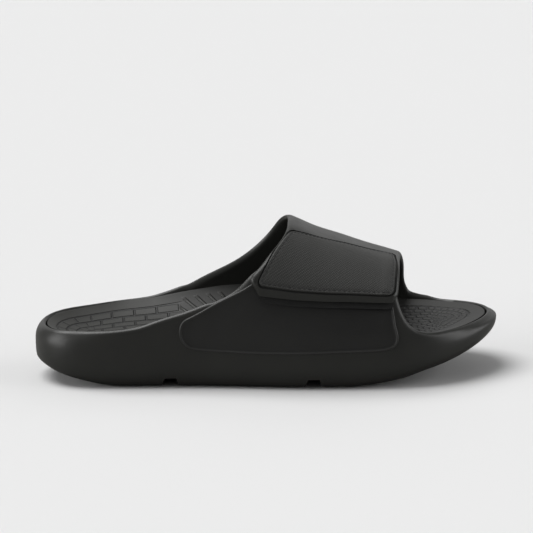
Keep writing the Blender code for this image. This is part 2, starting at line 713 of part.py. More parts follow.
def patch(corners, margin, lifts):
    """A slab over the dome. lifts gives the lift of its inner and outer face at a turn."""

    def place(column, row, face):
        x, turn = patch_spot(corners, column / PATCH_COLUMNS, PATCH_ROWS[row], margin)
        return layer(x, turn, lifts(turn)[face])

    return slab(PATCH_COLUMNS, len(PATCH_ROWS) - 1, place)


def pad_lifts(turn):
    low = GAP + PANEL_THICKNESS + GAP
    return low, low + PAD_THICKNESS


def inset_lifts(turn):
    return flap_rise(turn) - INSET_DEPTH + GAP, flap_rise(turn) + INSET_PROUD


def recess_lifts(turn):
    return flap_rise(turn) - INSET_DEPTH, flap_rise(turn) + 2 * CUTTER_REACH


def main():
    for old in list(bpy.data.objects):
        bpy.data.objects.remove(old)
    shoe = bpy.data.collections.new("slide_sandal")
    cutters = bpy.data.collections.new("cutters")
    for collection in (shoe, cutters):
        bpy.context.scene.collection.children.link(collection)
    foam = material("charcoal_foam", (0.030, 0.030, 0.028), 0.6)
    bed = material("footbed_foam", (0.050, 0.050, 0.044), 0.75)
    panel = material("panel_foam", (0.026, 0.026, 0.025), 0.6)
    textile = material("strap_textile", (0.040, 0.040, 0.038), 0.8)
    fastener = material("fastener_textile", (0.030, 0.030, 0.029), 0.9)
    body = make_body(shoe, foam)
    for share in GROOVES:
        boolean(body, groove_cutter(share, cutters), "DIFFERENCE")
    recess = patch(INSET_CORNERS, 0, recess_lifts)
    boolean(body, add_cutter("inset_recess", recess, cutters), "DIFFERENCE")
    make_footbed(shoe, bed)
    make_side_panel(shoe, panel)
    add_object("strap_inset", patch(INSET_CORNERS, GAP, inset_lifts), shoe, textile)
    add_object("fastening_pad", patch(PAD_CORNERS, 0, pad_lifts), shoe, fastener)


main()
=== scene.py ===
"""Looks of the slide sandal, right shoe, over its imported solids."""

import math

import bmesh
import bpy
import numpy as np
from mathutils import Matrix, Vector


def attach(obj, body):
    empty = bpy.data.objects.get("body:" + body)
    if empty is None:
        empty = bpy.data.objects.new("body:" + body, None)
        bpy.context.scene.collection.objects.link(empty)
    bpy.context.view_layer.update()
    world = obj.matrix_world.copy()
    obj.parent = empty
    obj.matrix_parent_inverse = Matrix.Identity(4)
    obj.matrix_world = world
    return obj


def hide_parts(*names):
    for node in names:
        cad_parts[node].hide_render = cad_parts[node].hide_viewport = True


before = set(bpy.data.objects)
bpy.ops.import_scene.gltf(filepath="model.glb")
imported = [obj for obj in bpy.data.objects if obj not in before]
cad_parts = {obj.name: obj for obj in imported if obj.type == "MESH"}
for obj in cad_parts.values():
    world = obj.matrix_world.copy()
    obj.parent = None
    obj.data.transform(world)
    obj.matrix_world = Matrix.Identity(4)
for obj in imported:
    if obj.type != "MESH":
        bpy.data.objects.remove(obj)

MM = 0.001

# Driving dimensions
LENGTH = 290 * MM
# 0.1 mm less than the solids' 106, so that the smooth shape stays inside their box
BALL_WIDTH = 105.9 * MM
RIM_HEIGHT = 35 * MM
INSTEP_HEIGHT = 99 * MM
SHOULDER_HEIGHT = 20 * MM
TOE_SPRING = 25 * MM
HEEL_LIFT = 13 * MM
BOTTOM_INSET = 8.5 * MM
RIM_LEAN = 2.8 * MM
EDGE_ROUND = 2.0 * MM
FLAP_BEVEL = 3.0 * MM
BASE_WALL = 4.4 * MM
STRAP_WALL = 3.6 * MM
TAB_WALL = 3.0 * MM
FOOTBED_THICKNESS = 6 * MM
PANEL_THICKNESS = 0.9 * MM
PAD_THICKNESS = 0.9 * MM
GROOVE_WIDTH = 12 * MM
GROOVE_TOP = 7 * MM
GROOVE_HEIGHT = 6.5 * MM
GAP = 0.3 * MM
SEAT_CLEARANCE = 0.15 * MM
SEAT_EASE = 0.3 * MM
CUTTER_REACH = 1 * MM
# 2 is an ellipse, more is a squarer instep
DOME_POWER = 2.2

# Stations from heel to toe on each side, and rows up the two halves of the upper, as shares of
# their edges
STATIONS = 104
STRAP_ROWS = tuple(i / 34 for i in range(1, 33)) + (0.955, 0.972, 0.988, 1.0)
TAB_ROWS = tuple(i / 16 for i in range(1, 17))

# Sole outline at its widest level, from the heel's back round the lateral side, the toe and the medial
# side: share of the length, share of the ball width from the middle line
OUTLINE = (
    (0.000, 0.010), (0.034, -0.250), (0.135, -0.352), (0.328, -0.388), (0.517, -0.468),
    (0.690, -0.502), (0.821, -0.466), (0.903, -0.350), (0.969, -0.165), (1.000, 0.045),
    (0.981, 0.265), (0.921, 0.402), (0.810, 0.480), (0.707, 0.500), (0.517, 0.425),
    (0.328, 0.382), (0.138, 0.377), (0.036, 0.255),
)
OUTLINE_SAMPLES = 1440
# Where the stations fan out from at the heel and at the toe
HEEL_POLE, TOE_POLE = 0.13, 0.86

# Length share, height of the underside as a share of HEEL_LIFT or of TOE_SPRING
HEEL_ROCKER = (
    (0, 1.0), (0.014, 0.89), (0.045, 0.61), (0.080, 0.38), (0.117, 0.17), (0.150, 0.04), (0.185, 0),
)
TOE_ROCKER = (
    (0.672, 0), (0.741, 0.10), (0.783, 0.20), (0.821, 0.335), (0.879, 0.50), (0.931, 0.68),
    (0.969, 0.85), (1, 1),
)
# Length share, share of RIM_HEIGHT
RIM = (
    (0, 0.995), (0.05, 1.025), (0.12, 1.05), (0.2, 1.085), (0.35, 1.08), (0.7, 1.03), (0.81, 0.985),
    (0.85, 0.965), (0.9, 0.966), (0.96, 0.98), (1, 1),
)
# Length share, share of BOTTOM_INSET: how far the underside's edge lies inside the outline
UNDERCUT = ((0, 0.15), (0.05, 0.5), (0.12, 0.9), (0.25, 1), (0.75, 1), (0.9, 0.8), (1, 0.5))
# Length share, share of the wall's height where it is widest
RIDGE = ((0, 0.5), (0.15, 0.42), (0.3, 0.37), (0.75, 0.37), (0.88, 0.46), (0.95, 0.55), (1, 0.62))
# Length share, share of INSTEP_HEIGHT: the dome's crest, which goes on past both openings
CREST = (
    (0, 1.70), (0.2, 1.66), (0.28, 1.56), (0.345, 1.43), (0.414, 1.28), (0.483, 1.125), (0.517, 1.055),
    (0.546, 1.0), (0.569, 0.968), (0.607, 0.915), (0.662, 0.858), (0.714, 0.802), (0.777, 0.743),
    (0.814, 0.705), (0.862, 0.66), (1, 0.55),
)
# The crest's place across, share of BALL_WIDTH
CREST_SIDE = 0.045

# Edges of the upper above the rim: length share, turn round the section in degrees
STRAP_REAR = (
    (0.249, 6.8), (0.286, 8.3), (0.337, 11.5), (0.391, 17.1), (0.446, 24.5), (0.480, 32.5),
    (0.514, 46.7), (0.534, 64.8), (0.546, 90), (0.538, 104), (0.514, 126.5), (0.4847, 139.2),
    (0.4598, 148), (0.4475, 152.8), (0.452, 155.2), (0.468, 156.2),
)
STRAP_FRONT = (
    (0.833, 19.6), (0.821, 25), (0.815, 37), (0.812, 51), (0.802, 72), (0.793, 90), (0.783, 105),
    (0.774, 119), (0.769, 130), (0.7645, 140.5), (0.7605, 144.4), (0.752, 146.2),
)
TAB_REAR = (
    (0.204, 173.7), (0.259, 171.4), (0.312, 168.7), (0.366, 164.4), (0.421, 157.5), (0.449, 150.5),
    (0.479, 143), (0.510, 136), (0.540, 132.5),
)
TAB_FRONT = (
    (0.809, 163), (0.790, 158.7), (0.778, 152.1), (0.770, 143), (0.765, 133.6), (0.755, 127.5),
    (0.741, 126),
)
# Where the strap and the tab rise from the rim, and where their low edges, which the rim's own line
# follows, turn up into sheets
STRAP_SPAN, TAB_SPAN = (0.205, 0.852), (0.155, 0.838)
STRAP_LEAVES, TAB_LEAVES = (0.337, 0.833), (0.366, 0.809)
# Length share kept clear on each side of where they rise and turn up
RISE_ROOM, TURN_ROOM = 0.03, 0.01
# Length share over which the rim's lean runs out beyond the upper
LEAN_FADE = 0.09

# Turn in degrees, share of the flap's lift over the dome
FLAP_RISE = ((0, 0), (90, 0), (103, 0.22), (117, 0.8), (127, 1), (180, 1))
# Turn in degrees from the base, wall thickness as a share from BASE_WALL to STRAP_WALL or TAB_WALL
WALL_TAPER = ((0, 0), (20, 0.35), (55, 1), (180, 1))

# Length share, share of RIM_HEIGHT: top of the footbed at its middle and at its two edges
BED_MIDDLE = (
    (0, 0.80), (0.14, 0.76), (0.28, 0.81), (0.38, 0.86), (0.52, 0.84), (0.69, 0.77), (0.82, 0.80),
    (0.9, 0.855), (0.95, 0.90), (1, 0.93),
)
BED_LATERAL = (
    (0, 0.965), (0.05, 0.99), (0.12, 1.015), (0.2, 1.03), (0.3, 1.03), (0.6, 0.99), (0.8, 0.935),
    (0.9, 0.93), (1, 0.965),
)
BED_MEDIAL = (
    (0, 0.965), (0.05, 0.99), (0.12, 1.02), (0.2, 1.07), (0.249, 1.11), (0.286, 1.17),
    (0.345, 1.26), (0.43, 1.34), (0.469, 1.345), (0.534, 1.31), (0.62, 1.16), (0.71, 1.02),
    (0.82, 0.945), (0.9, 0.93), (1, 0.965),
)
# Power of the share from the footbed's spine to its edge: how late its cup rises
BED_POWER = 2.6

# Raised panel on the lateral wall: length share, share of the dome's height over its shoulder. Its top
# lies under the flap
PANEL_OUTLINE = (
    (0.753, 0.57), (0.760, 0.335), (0.764, 0.21), (0.758, 0.135), (0.739, 0.088), (0.699, 0.068),
    (0.544, 0.037), (0.419, 0.031), (0.347, 0.037), (0.315, 0.054), (0.303, 0.084), (0.299, 0.125),
    (0.306, 0.175), (0.323, 0.205), (0.384, 0.315), (0.450, 0.464), (0.490, 0.587), (0.58, 0.673),
    (0.70, 0.695), (0.742, 0.683),
)
PANEL_POINTS = 360
# The middle line's two ends and steps
PANEL_SPINE = ((0.385, 0.12), (0.685, 0.30))
PANEL_STEPS = 40

# Inset on the flap: length share and turn of its rear top, front top, front low and rear low corners,
# and the share of its height over which they are round
INSET_CORNERS = ((0.536, 117), (0.774, 96), (0.7535, 144.0), (0.461, 154.4))
PATCH_ROUND = 0.1
# Grooves across the underside
GROOVES = (0.281, 0.584)
# The edge of the rim and of the upper, as depths into the wall: its outer face, its top, its inner face
RIM_RINGS = {"rim_out": 0.0, "rim_top": 0.5, "rim_in": 1.0}
# Steps over which slopes are measured: length, degrees and share of an edge
STEP_X, STEP_TURN, STEP_SHARE = 1 * MM, 1.0, 0.002

FLAP_LIFT = PANEL_THICKNESS + PAD_THICKNESS + 3 * GAP + STRAP_WALL
PANEL_STAND = PANEL_THICKNESS + GAP


def smooth_curve(points):
    """A natural cubic through the points by chord length, share 0 to 1, and the points' own shares."""
    points = np.array(points, float)
    chord = np.linalg.norm(np.diff(points, axis=0), axis=1)
    knots = np.concatenate([[0], np.cumsum(chord)]) / chord.sum()
    step, count = np.diff(knots), len(points)
    matrix, right = np.eye(count), np.zeros_like(points)
    for i in range(1, count - 1):
        matrix[i, i - 1 : i + 2] = step[i - 1], 2 * (step[i - 1] + step[i]), step[i]
        after, before = points[i + 1] - points[i], points[i] - points[i - 1]
        right[i] = 3 * (after / step[i] - before / step[i - 1])
    bend = np.linalg.solve(matrix, right)

    def at(share):
        i = int(np.clip(np.searchsorted(knots, share) - 1, 0, count - 2))
        t, h = share - knots[i], step[i]
        slope = (points[i + 1] - points[i]) / h - h * (2 * bend[i] + bend[i + 1]) / 3
        return points[i] + t * (slope + t * (bend[i] + t * (bend[i + 1] - bend[i]) / (3 * h)))

    return at, knots


def closed_curve(points, samples):
    """Samples of a smooth closed curve through the points, starting at the first."""
    wrap, count = 4, len(points)
    at, knots = smooth_curve(list(points[-wrap:]) + list(points) + list(points[: wrap + 1]))
    start, end = knots[wrap], knots[wrap + count]
    return np.array([at(start + (end - start) * i / samples) for i in range(samples)])


def table(rows, x_size=1.0, y_size=1.0):
    """A smooth line through the rows that never overshoots them: x to y."""
    x = np.array([row[0] for row in rows]) * x_size
    y = np.array([row[1] for row in rows]) * y_size
    step = np.diff(x)
    slope = np.diff(y) / step
    tangent = np.zeros_like(y)
    for i in range(1, len(x) - 1):
        if slope[i - 1] * slope[i] > 0:
            before, after = 2 * step[i] + step[i - 1], step[i] + 2 * step[i - 1]
            tangent[i] = (before + after) / (before / slope[i - 1] + after / slope[i])
    tangent[0], tangent[-1] = slope[0], slope[-1]

    def at(value):
        i = int(np.clip(np.searchsorted(x, value) - 1, 0, len(step) - 1))
        t = min(max((value - x[i]) / step[i], 0.0), 1.0)
        ends = (1 + 2 * t) * (1 - t) ** 2 * y[i] + t * t * (3 - 2 * t) * y[i + 1]
        return float(ends + step[i] * t * (1 - t) * ((1 - t) * tangent[i] - t * tangent[i + 1]))

    return at


def mix(low, high, share):
    return low + (high - low) * share


heel_rocker = table(HEEL_ROCKER, LENGTH, HEEL_LIFT)
toe_rocker = table(TOE_ROCKER, LENGTH, TOE_SPRING)
rim = table(RIM, LENGTH, RIM_HEIGHT)
undercut = table(UNDERCUT, LENGTH, BOTTOM_INSET)
ridge = table(RIDGE, LENGTH)
crest = table(CREST, LENGTH, INSTEP_HEIGHT)
flap_rise = table(FLAP_RISE, 1, FLAP_LIFT)
wall_taper = table(WALL_TAPER)
bed_middle = table(BED_MIDDLE, LENGTH, RIM_HEIGHT)
bed_edge = {-1: table(BED_LATERAL, LENGTH, RIM_HEIGHT), 1: table(BED_MEDIAL, LENGTH, RIM_HEIGHT)}


def outline_sides():
    """The outline's two sides, lateral -1 and medial 1, as x and y from heel to toe.

    It has the exact length, and the exact width once the side panel stands on its lateral side.
    """
    ring = closed_curve([(x * LENGTH, y * BALL_WIDTH) for x, y in OUTLINE], OUTLINE_SAMPLES)
    low, high = ring.min(axis=0), ring.max(axis=0)
    ring = (ring - low) / (high - low) * (LENGTH, BALL_WIDTH - PANEL_STAND)
    ring[:, 1] -= BALL_WIDTH / 2 - PANEL_STAND
    ring = np.roll(ring, -int(ring[:, 0].argmin()), axis=0)
    toe = int(ring[:, 0].argmax())
    return {-1: ring[: toe + 1], 1: np.vstack([ring[toe:], ring[:1]])[::-1]}


SIDES = outline_sides()
CREST_Y = CREST_SIDE * BALL_WIDTH


def side_y(side, x):
    return float(np.interp(x, SIDES[side][:, 0], SIDES[side][:, 1]))


def middle_y(x):
    return (side_y(-1, x) + side_y(1, x)) / 2


def stations():
    """Lengths along the shoe that are evenly spaced round the lateral side."""
    path = SIDES[-1]
    walked = np.concatenate([[0], np.cumsum(np.linalg.norm(np.diff(path, axis=0), axis=1))])
    return np.interp(np.linspace(0, walked[-1], STATIONS + 1), walked, path[:, 0])


STATION_X = stations()
COLUMNS = 2 * STATIONS


def column_side(column):
    return -1 if column <= STATIONS else 1


def column_x(column):
    return float(STATION_X[column if column <= STATIONS else COLUMNS - column])


def spine(column):
    x = min(max(column_x(column), HEEL_POLE * LENGTH), TOE_POLE * LENGTH)
    return np.array([x, middle_y(x)])


def inset_point(column, inset):
    """The point of the outline at this column, moved in towards the spine."""
    x = column_x(column)
    edge = np.array([x, side_y(column_side(column), x)])
    inward = spine(column) - edge
    return edge + inward * inset / np.linalg.norm(inward)


def underside(x):
    return heel_rocker(x) + toe_rocker(x)


def dome(x, turn):
    """A point of the instep's dome."""
    angle = math.radians(turn)
    side = 1 if turn < 90 else -1
    across = abs(math.cos(angle)) ** (2 / DOME_POWER)
    up = abs(math.sin(angle)) ** (2 / DOME_POWER)
    height = SHOULDER_HEIGHT + (crest(x) - SHOULDER_HEIGHT) * up
    return np.array([x, mix(CREST_Y, side_y(side, x), across), height])


def turn_at(side, x, z):
    """The turn at which the dome reaches this height."""
    share = min(max((z - SHOULDER_HEIGHT) / (crest(x) - SHOULDER_HEIGHT), 0.0), 1.0)
    turn = math.degrees(math.asin(share ** (DOME_POWER / 2)))
    return turn if side == 1 else 180 - turn


def layer(x, turn, lift):
    """A point that lies over the dome by lift, along its normal."""
    along = dome(x + STEP_X, turn) - dome(x - STEP_X, turn)
    around = dome(x, min(turn + STEP_TURN, 180)) - dome(x, max(turn - STEP_TURN, 0))
    normal = np.cross(around, along)
    return dome(x, turn) + normal * lift / np.linalg.norm(normal)


def rim_line(span, leaves, rear, front):
    """Height of the rim on one side, up to where the upper turns up behind and in front."""
    behind = [(share, part * RIM_HEIGHT) for share, part in RIM if share < span[0] - RISE_ROOM]
    behind += [(share, dome(share * LENGTH, turn)[2]) for share, turn in rear if share <= leaves[0]]
    ahead = [(share, dome(share * LENGTH, turn)[2]) for share, turn in front if share >= leaves[1]]
    ahead = ahead[::-1] + [(share, part * RIM_HEIGHT) for share, part in RIM if share > span[1]]
    return table(behind, LENGTH), table(ahead, LENGTH)


def wall_thickness(side, turn):
    from_base = turn if side == 1 else 180 - turn
    return mix(BASE_WALL, STRAP_WALL if side == 1 else TAB_WALL, wall_taper(from_base))


def nearest_column(side, share):
    index = int(np.abs(STATION_X - share * LENGTH).argmin())
    return index if side == -1 else COLUMNS - index


class Wing:
    """One half of the upper: the strap, from the medial rim, or the tab, from the lateral rim."""

    def __init__(self, side, span, leaves, rear, front, rows):
        self.side = side
        self.rows = (0.0,) + rows
        self.lift = flap_rise if side == 1 else (lambda turn: 0.0)
        self.span = span[0] * LENGTH, span[1] * LENGTH
        self.rims = rim_line(span, leaves, rear, front)
        self.first, self.last = nearest_column(side, leaves[0]), nearest_column(side, leaves[1])
        self.ends = column_x(self.first), column_x(self.last)
        rear = [row for row in rear if row[0] > leaves[0] + TURN_ROOM]
        front = [row for row in front if row[0] < leaves[1] - TURN_ROOM / 2]
        self.edges = [self.edge(0, rear), self.edge(1, front)]

    def edge(self, end, rows):
        """The rear edge, end 0, or the front edge, end 1, from the rim up, as length and girth."""
        x = self.ends[end]
        start = [(x, turn_at(self.side, x, self.rims[end](x)) * self.girth())]
        return smooth_curve(start + [(share * LENGTH, turn * self.girth()) for share, turn in rows])[0]

    def girth(self):
        """Metres round the section for each degree."""
        return math.radians(BALL_WIDTH / 2)

    def edge_point(self, end, share, inset):
        """Length and turn on the rear edge, end 0, or the front edge, end 1, moved in by inset."""
        before, after = max(share - STEP_SHARE, 0), min(share + STEP_SHARE, 1)
        low, high = self.edges[end](before), self.edges[end](after)
        dx, dg = (high - low) / np.linalg.norm(high - low)
        flip = 1 if (end == 0) == (self.side == 1) else -1
        x, girth = self.edges[end](share) + inset * flip * np.array([dg, -dx])
        return np.array([x, girth / self.girth()])

    def across(self, column):
        return (column_x(column) - self.ends[0]) / (self.ends[1] - self.ends[0])

    def columns(self):
        step = 1 if self.last > self.first else -1
        return list(range(self.first, self.last + step, step))

    def sheet_point(self, column, row, inset=EDGE_ROUND):
        """Length and turn where this column crosses this row."""
        share = self.rows[row]
        ends = [self.edge_point(end, share, inset) for end in (0, 1)]
        return mix(ends[0], ends[1], self.across(column))

    def point(self, column, row, ring):
        """Place of a vertex of the upper, on its outer face, its inner face or its rounded edge."""
        on_edge = ring == "rim_top"
        x, turn = self.sheet_point(column, row, 0 if on_edge else EDGE_ROUND)
        depth = RIM_RINGS[ring]
        lift = self.lift(turn) - depth * self.thickness(turn)
        if on_edge and row == len(self.rows) - 1:
            turn += (1 if self.side == 1 else -1) * FLAP_BEVEL / self.girth()
        return layer(x, turn, lift)

    def thickness(self, turn):
        return wall_thickness(self.side, turn)


STRAP = Wing(1, STRAP_SPAN, STRAP_LEAVES, STRAP_REAR, STRAP_FRONT, STRAP_ROWS)
TAB = Wing(-1, TAB_SPAN, TAB_LEAVES, TAB_REAR, TAB_FRONT, TAB_ROWS)
WINGS = {1: STRAP, -1: TAB}


def rim_at(column):
    """Height of the rim at this column, or of the upper's own lowest row."""
    wing, x = WINGS[column_side(column)], column_x(column)
    if wing.ends[0] < x < wing.ends[1]:
        return dome(*wing.sheet_point(column, 0, 0))[2]
    return wing.rims[x >= wing.ends[1]](x)


def rim_lean(column):
    """How far the rim lies inside the outline: the dome's own lean where the upper leaves it."""
    wing, x = WINGS[column_side(column)], column_x(column)
    turn = turn_at(wing.side, x, rim(x) - EDGE_ROUND)
    domed = abs(side_y(wing.side, x) - dome(x, turn)[1])
    away = max(wing.span[0] - x, x - wing.span[1], 0) / (LEAN_FADE * LENGTH)
    ease = max(1 - away, 0) ** 2 * (1 + 2 * min(away, 1))
    return mix(RIM_LEAN, domed, ease)


def seat_inset(column):
    return rim_lean(column) + BASE_WALL + SEAT_EASE


def seat_point(column, share, inset):
    """A point of the basin's floor, from the spine, share 0, to its edge, share 1."""
    edge = inset_point(column, inset)
    x, y = mix(spine(column), edge, share)
    low = bed_middle(x) - FOOTBED_THICKNESS
    high = bed_edge[-1](column_x(column)) - FOOTBED_THICKNESS
    return np.array([x, y, mix(low, high, share**BED_POWER)])


# The sole's rings from the underside's spine round the side and the rim to the basin's spine. The
# first lies on the underside, at this share from the spine to its edge
BOTTOM_SHARE = 0.55
# Inset as a share of the undercut, height as a share from the underside to the ridge
LOWER_RINGS = {
    "bottom_edge": (1.0, 0.0), "tuck_low": (0.47, 0.09), "tuck": (0.16, 0.36), "tuck_high": (0.03, 0.7),
}
# Height as a share from the ridge to the rim, inset as a share of the rim's lean
LEAN = table(((0, 0), (0.33, 0.05), (0.68, 0.35), (1, 1)))
# Rings of the wall's outer face and of its inner face, as shares of their heights
OUTER_RINGS = {
    "ridge": 0.0, "wall_1": 0.16, "wall_2": 0.36, "wall_3": 0.56, "wall_4": 0.76, "wall_5": 0.9,
}
INNER_RINGS = {"inner_high": 0.6, "inner_low": 0.3}
SEAT_RINGS = {"seat_edge": 1.0, "seat_wide": 0.75, "seat_narrow": 0.4, "seat_spine": 0.0}
RINGS = (
    "bottom_spine", "bottom_in", *LOWER_RINGS, *OUTER_RINGS, *RIM_RINGS, *INNER_RINGS, *SEAT_RINGS,
)


def ridge_height(x):
    return mix(underside(x), rim(x), ridge(x))


def wall_point(column, z, depth):
    """A point of the wall at a height, from its outer face, depth 0, to its inner face, depth 1."""
    x, wing = column_x(column), WINGS[column_side(column)]
    domed = rim(x) - EDGE_ROUND
    if z >= domed and wing.span[0] <= x <= wing.span[1]:
        turn = turn_at(wing.side, x, z)
        return layer(x, turn, -depth * wing.thickness(turn))
    share = min(max((z - ridge_height(x)) / (domed - ridge_height(x)), 0), 1)
    px, py = inset_point(column, LEAN(share) * rim_lean(column) + depth * BASE_WALL)
    return np.array([px, py, z])


def sole_point(column, ring):
    x = column_x(column)
    if ring in ("bottom_spine", "bottom_in"):
        share = 0.0 if ring == "bottom_spine" else BOTTOM_SHARE
        px, py = mix(spine(column), inset_point(column, undercut(x)), share)
        return np.array([px, py, underside(px)])
    if ring in LOWER_RINGS:
        inset, height = LOWER_RINGS[ring]
        px, py = inset_point(column, inset * undercut(x))
        return np.array([px, py, mix(underside(px), ridge_height(x), height)])
    top = rim_at(column) - EDGE_ROUND
    if ring in OUTER_RINGS:
        return wall_point(column, mix(ridge_height(x), top, OUTER_RINGS[ring]), 0)
    if ring in RIM_RINGS:
        return wall_point(column, top, RIM_RINGS[ring]) + (0, 0, EDGE_ROUND if ring == "rim_top" else 0)
    seat = seat_point(column, SEAT_RINGS.get(ring, 1.0), seat_inset(column))
    if ring in INNER_RINGS:
        return wall_point(column, mix(seat[2], top, INNER_RINGS[ring]), 1)
    return seat


def body_point(column, ring, row):
    """Place of a vertex of the moulded body. Row 0 is the sole, and higher rows are the upper."""
    wing = WINGS[column_side(column)]
    inside = min(wing.first, wing.last) <= column <= max(wing.first, wing.last)
    if ring in RIM_RINGS and inside and (row or ring != "rim_top"):
        return wing.point(column, row, ring)
    return sole_point(column, ring)


def ring_loop(bm, rings, columns):
    """Rows of faces round the shoe. Each vertex keeps its column and its ring."""
    column_layer = bm.verts.layers.int.new("column")
    ring_layer = bm.verts.layers.int.new("ring")
    bm.verts.layers.int.new("row")
    loop = bmesh.ops.create_circle(bm, segments=columns, radius=1)["verts"]
    for column, vertex in enumerate(loop):
        vertex[column_layer] = column
    edges = bm.edges[:]
    for ring in range(1, rings):
        made = bmesh.ops.extrude_edge_only(bm, edges=edges)["geom"]
        edges = [item for item in made if isinstance(item, bmesh.types.BMEdge)]
        for vertex in (item for item in made if isinstance(item, bmesh.types.BMVert)):
            vertex[ring_layer] = ring
        edges = [edge for edge in edges if all(v[ring_layer] == ring for v in edge.verts)]


def raise_wing(bm, wing):
    """Extrudes the rim's faces along a wing, once for each row."""
    column_layer, ring_layer = bm.verts.layers.int["column"], bm.verts.layers.int["ring"]
    row_layer = bm.verts.layers.int["row"]
    allowed, rim_rings = set(wing.columns()), {RINGS.index(ring) for ring in RIM_RINGS}
    faces = [
        face
        for face in bm.faces
        if all(v[column_layer] in allowed and v[ring_layer] in rim_rings for v in face.verts)
    ]
    for row in range(1, len(wing.rows)):
        made = bmesh.ops.extrude_face_region(bm, geom=faces)["geom"]
        bmesh.ops.delete(bm, geom=faces, context="FACES")
        faces = [item for item in made if isinstance(item, bmesh.types.BMFace)]
        for vertex in (item for item in made if isinstance(item, bmesh.types.BMVert)):
            vertex[row_layer] = row


def lateral_wall(x, z):
    """A point of the lateral wall's outer face."""
    domed = rim(x) - EDGE_ROUND
    if z >= domed:
        return dome(x, turn_at(-1, x, z))
    edge = side_y(-1, x)
    lean = abs(edge - dome(x, turn_at(-1, x, domed))[1])
    share = min(max((z - ridge_height(x)) / (domed - ridge_height(x)), 0), 1)
    return np.array([x, edge + LEAN(share) * lean, z])


def on_wall(x, z, lift):
    """A point over the lateral wall by lift, along its normal."""
    along = lateral_wall(x + STEP_X, z) - lateral_wall(x - STEP_X, z)
    up = lateral_wall(x, z + STEP_X) - lateral_wall(x, z - STEP_X)
    normal = np.cross(along, up)
    return lateral_wall(x, z) + normal * lift / np.linalg.norm(normal)


def panel_spot(share, part):
    """Length and height of a point given as a share of the length and of the dome's height."""
    x = share * LENGTH
    return x, mix(SHOULDER_HEIGHT, crest(x), part)


def ids(bm, *names):
    return [bm.verts.layers.int[name] for name in names]


def slab(columns, rows, place):
    """A closed sheet on a grid.

    place takes a column, a row, and 0 for its inner face or 1 for its outer face.
    """
    bm = bmesh.new()
    bmesh.ops.create_grid(bm, x_segments=columns, y_segments=rows, size=1)
    column_layer, row_layer = bm.verts.layers.int.new("column"), bm.verts.layers.int.new("row")
    face_layer = bm.verts.layers.int.new("face")
    for vertex in bm.verts:
        vertex[column_layer] = round((vertex.co.x + 1) / 2 * columns)
        vertex[row_layer] = round((vertex.co.y + 1) / 2 * rows)
    made = bmesh.ops.extrude_face_region(bm, geom=bm.faces[:])["geom"]
    for vertex in (item for item in made if isinstance(item, bmesh.types.BMVert)):
        vertex[face_layer] = 1
    for vertex in bm.verts:
        vertex.co = place(vertex[column_layer], vertex[row_layer], vertex[face_layer])
    return bm


def uv_map(bm, place):
    """A UV layer in metres, from each vertex."""
    layer_uv = bm.loops.layers.uv.new("metres")
    for face in bm.faces:
        for loop in face.loops:
            loop[layer_uv].uv = place(loop.vert)


def add_object(name, bm, finish=None, sharp=40):
    """A named object from a finished bmesh, moved from heel-based lengths to the shoe's own origin."""
    bmesh.ops.recalc_face_normals(bm, faces=bm.faces[:])
    bmesh.ops.translate(bm, verts=bm.verts[:], vec=(-LENGTH / 2, 0, 0))
    mesh = bpy.data.meshes.new(name)
    bm.to_mesh(mesh)
    bm.free()
    if finish:
        mesh.materials.append(finish)
    mesh.shade_smooth()
    if sharp:
        mesh.set_sharp_from_angle(angle=math.radians(sharp))
    made = bpy.data.objects.new(name, mesh)
    bpy.context.scene.collection.objects.link(made)
    return made


def settle(obj, sharp=40):
    """Applies an object's modifiers, so that its final mesh can be shaded."""
    graph = bpy.context.evaluated_depsgraph_get()
    mesh = bpy.data.meshes.new_from_object(obj.evaluated_get(graph))
    obj.modifiers.clear()
    old = obj.data
    obj.data = mesh
    bpy.data.meshes.remove(old)
    mesh.shade_smooth()
    mesh.set_sharp_from_angle(angle=math.radians(sharp))


def dress(obj, node):
    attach(obj, "root")
    if node:
        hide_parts(node)


# Materials

def new_material(name, color, roughness):
    made = bpy.data.materials.new(name)
    made.use_nodes = True
    shader = made.node_tree.nodes["Principled BSDF"]
    shader.inputs["Base Color"].default_value = (*color, 1)
    shader.inputs["Roughness"].default_value = roughness
    return made, made.node_tree.nodes, made.node_tree.links, shader


def noise(nodes, links, source, scale, detail=3.0):
    node = nodes.new("ShaderNodeTexNoise")
    node.inputs["Scale"].default_value = scale
    node.inputs["Detail"].default_value = detail
    links.new(source, node.inputs["Vector"])
    return node.outputs["Fac"]


def ramp(nodes, links, source, low, high, low_color, high_color):
    node = nodes.new("ShaderNodeValToRGB")
    first, last = node.color_ramp.elements
    first.position, last.position = low, high
    first.color, last.color = (*low_color, 1), (*high_color, 1)
    links.new(source, node.inputs["Fac"])
    return node.outputs["Color"]


def math_node(nodes, links, operation, first, second):
    node = nodes.new("ShaderNodeMath")
    node.operation = operation
    for socket, value in zip(node.inputs, (first, second)):
        if isinstance(value, (int, float)):
            socket.default_value = value
        else:
            links.new(value, socket)
    return node.outputs["Value"]


def bump(nodes, links, height, distance, strength, under=None):
    node = nodes.new("ShaderNodeBump")
    node.inputs["Distance"].default_value = distance
    node.inputs["Strength"].default_value = strength
    links.new(height, node.inputs["Height"])
    if under is not None:
        links.new(under, node.inputs["Normal"])
    return node.outputs["Normal"]


def shade(color, share):
    return tuple(value * share for value in color)


def parts(nodes, links, vector):
    """The X, Y and Z of a vector."""
    split = nodes.new("ShaderNodeSeparateXYZ")
    links.new(vector, split.inputs["Vector"])
    return split.outputs


def fade(nodes, links, source, start, end):
    """A soft step: 0 on the side of start, 1 from end on."""
    node = nodes.new("ShaderNodeMapRange")
    node.interpolation_type = "SMOOTHSTEP"
    links.new(source, node.inputs["Value"])
    node.inputs["From Min"].default_value = start
    node.inputs["From Max"].default_value = end
    return node.outputs["Result"]


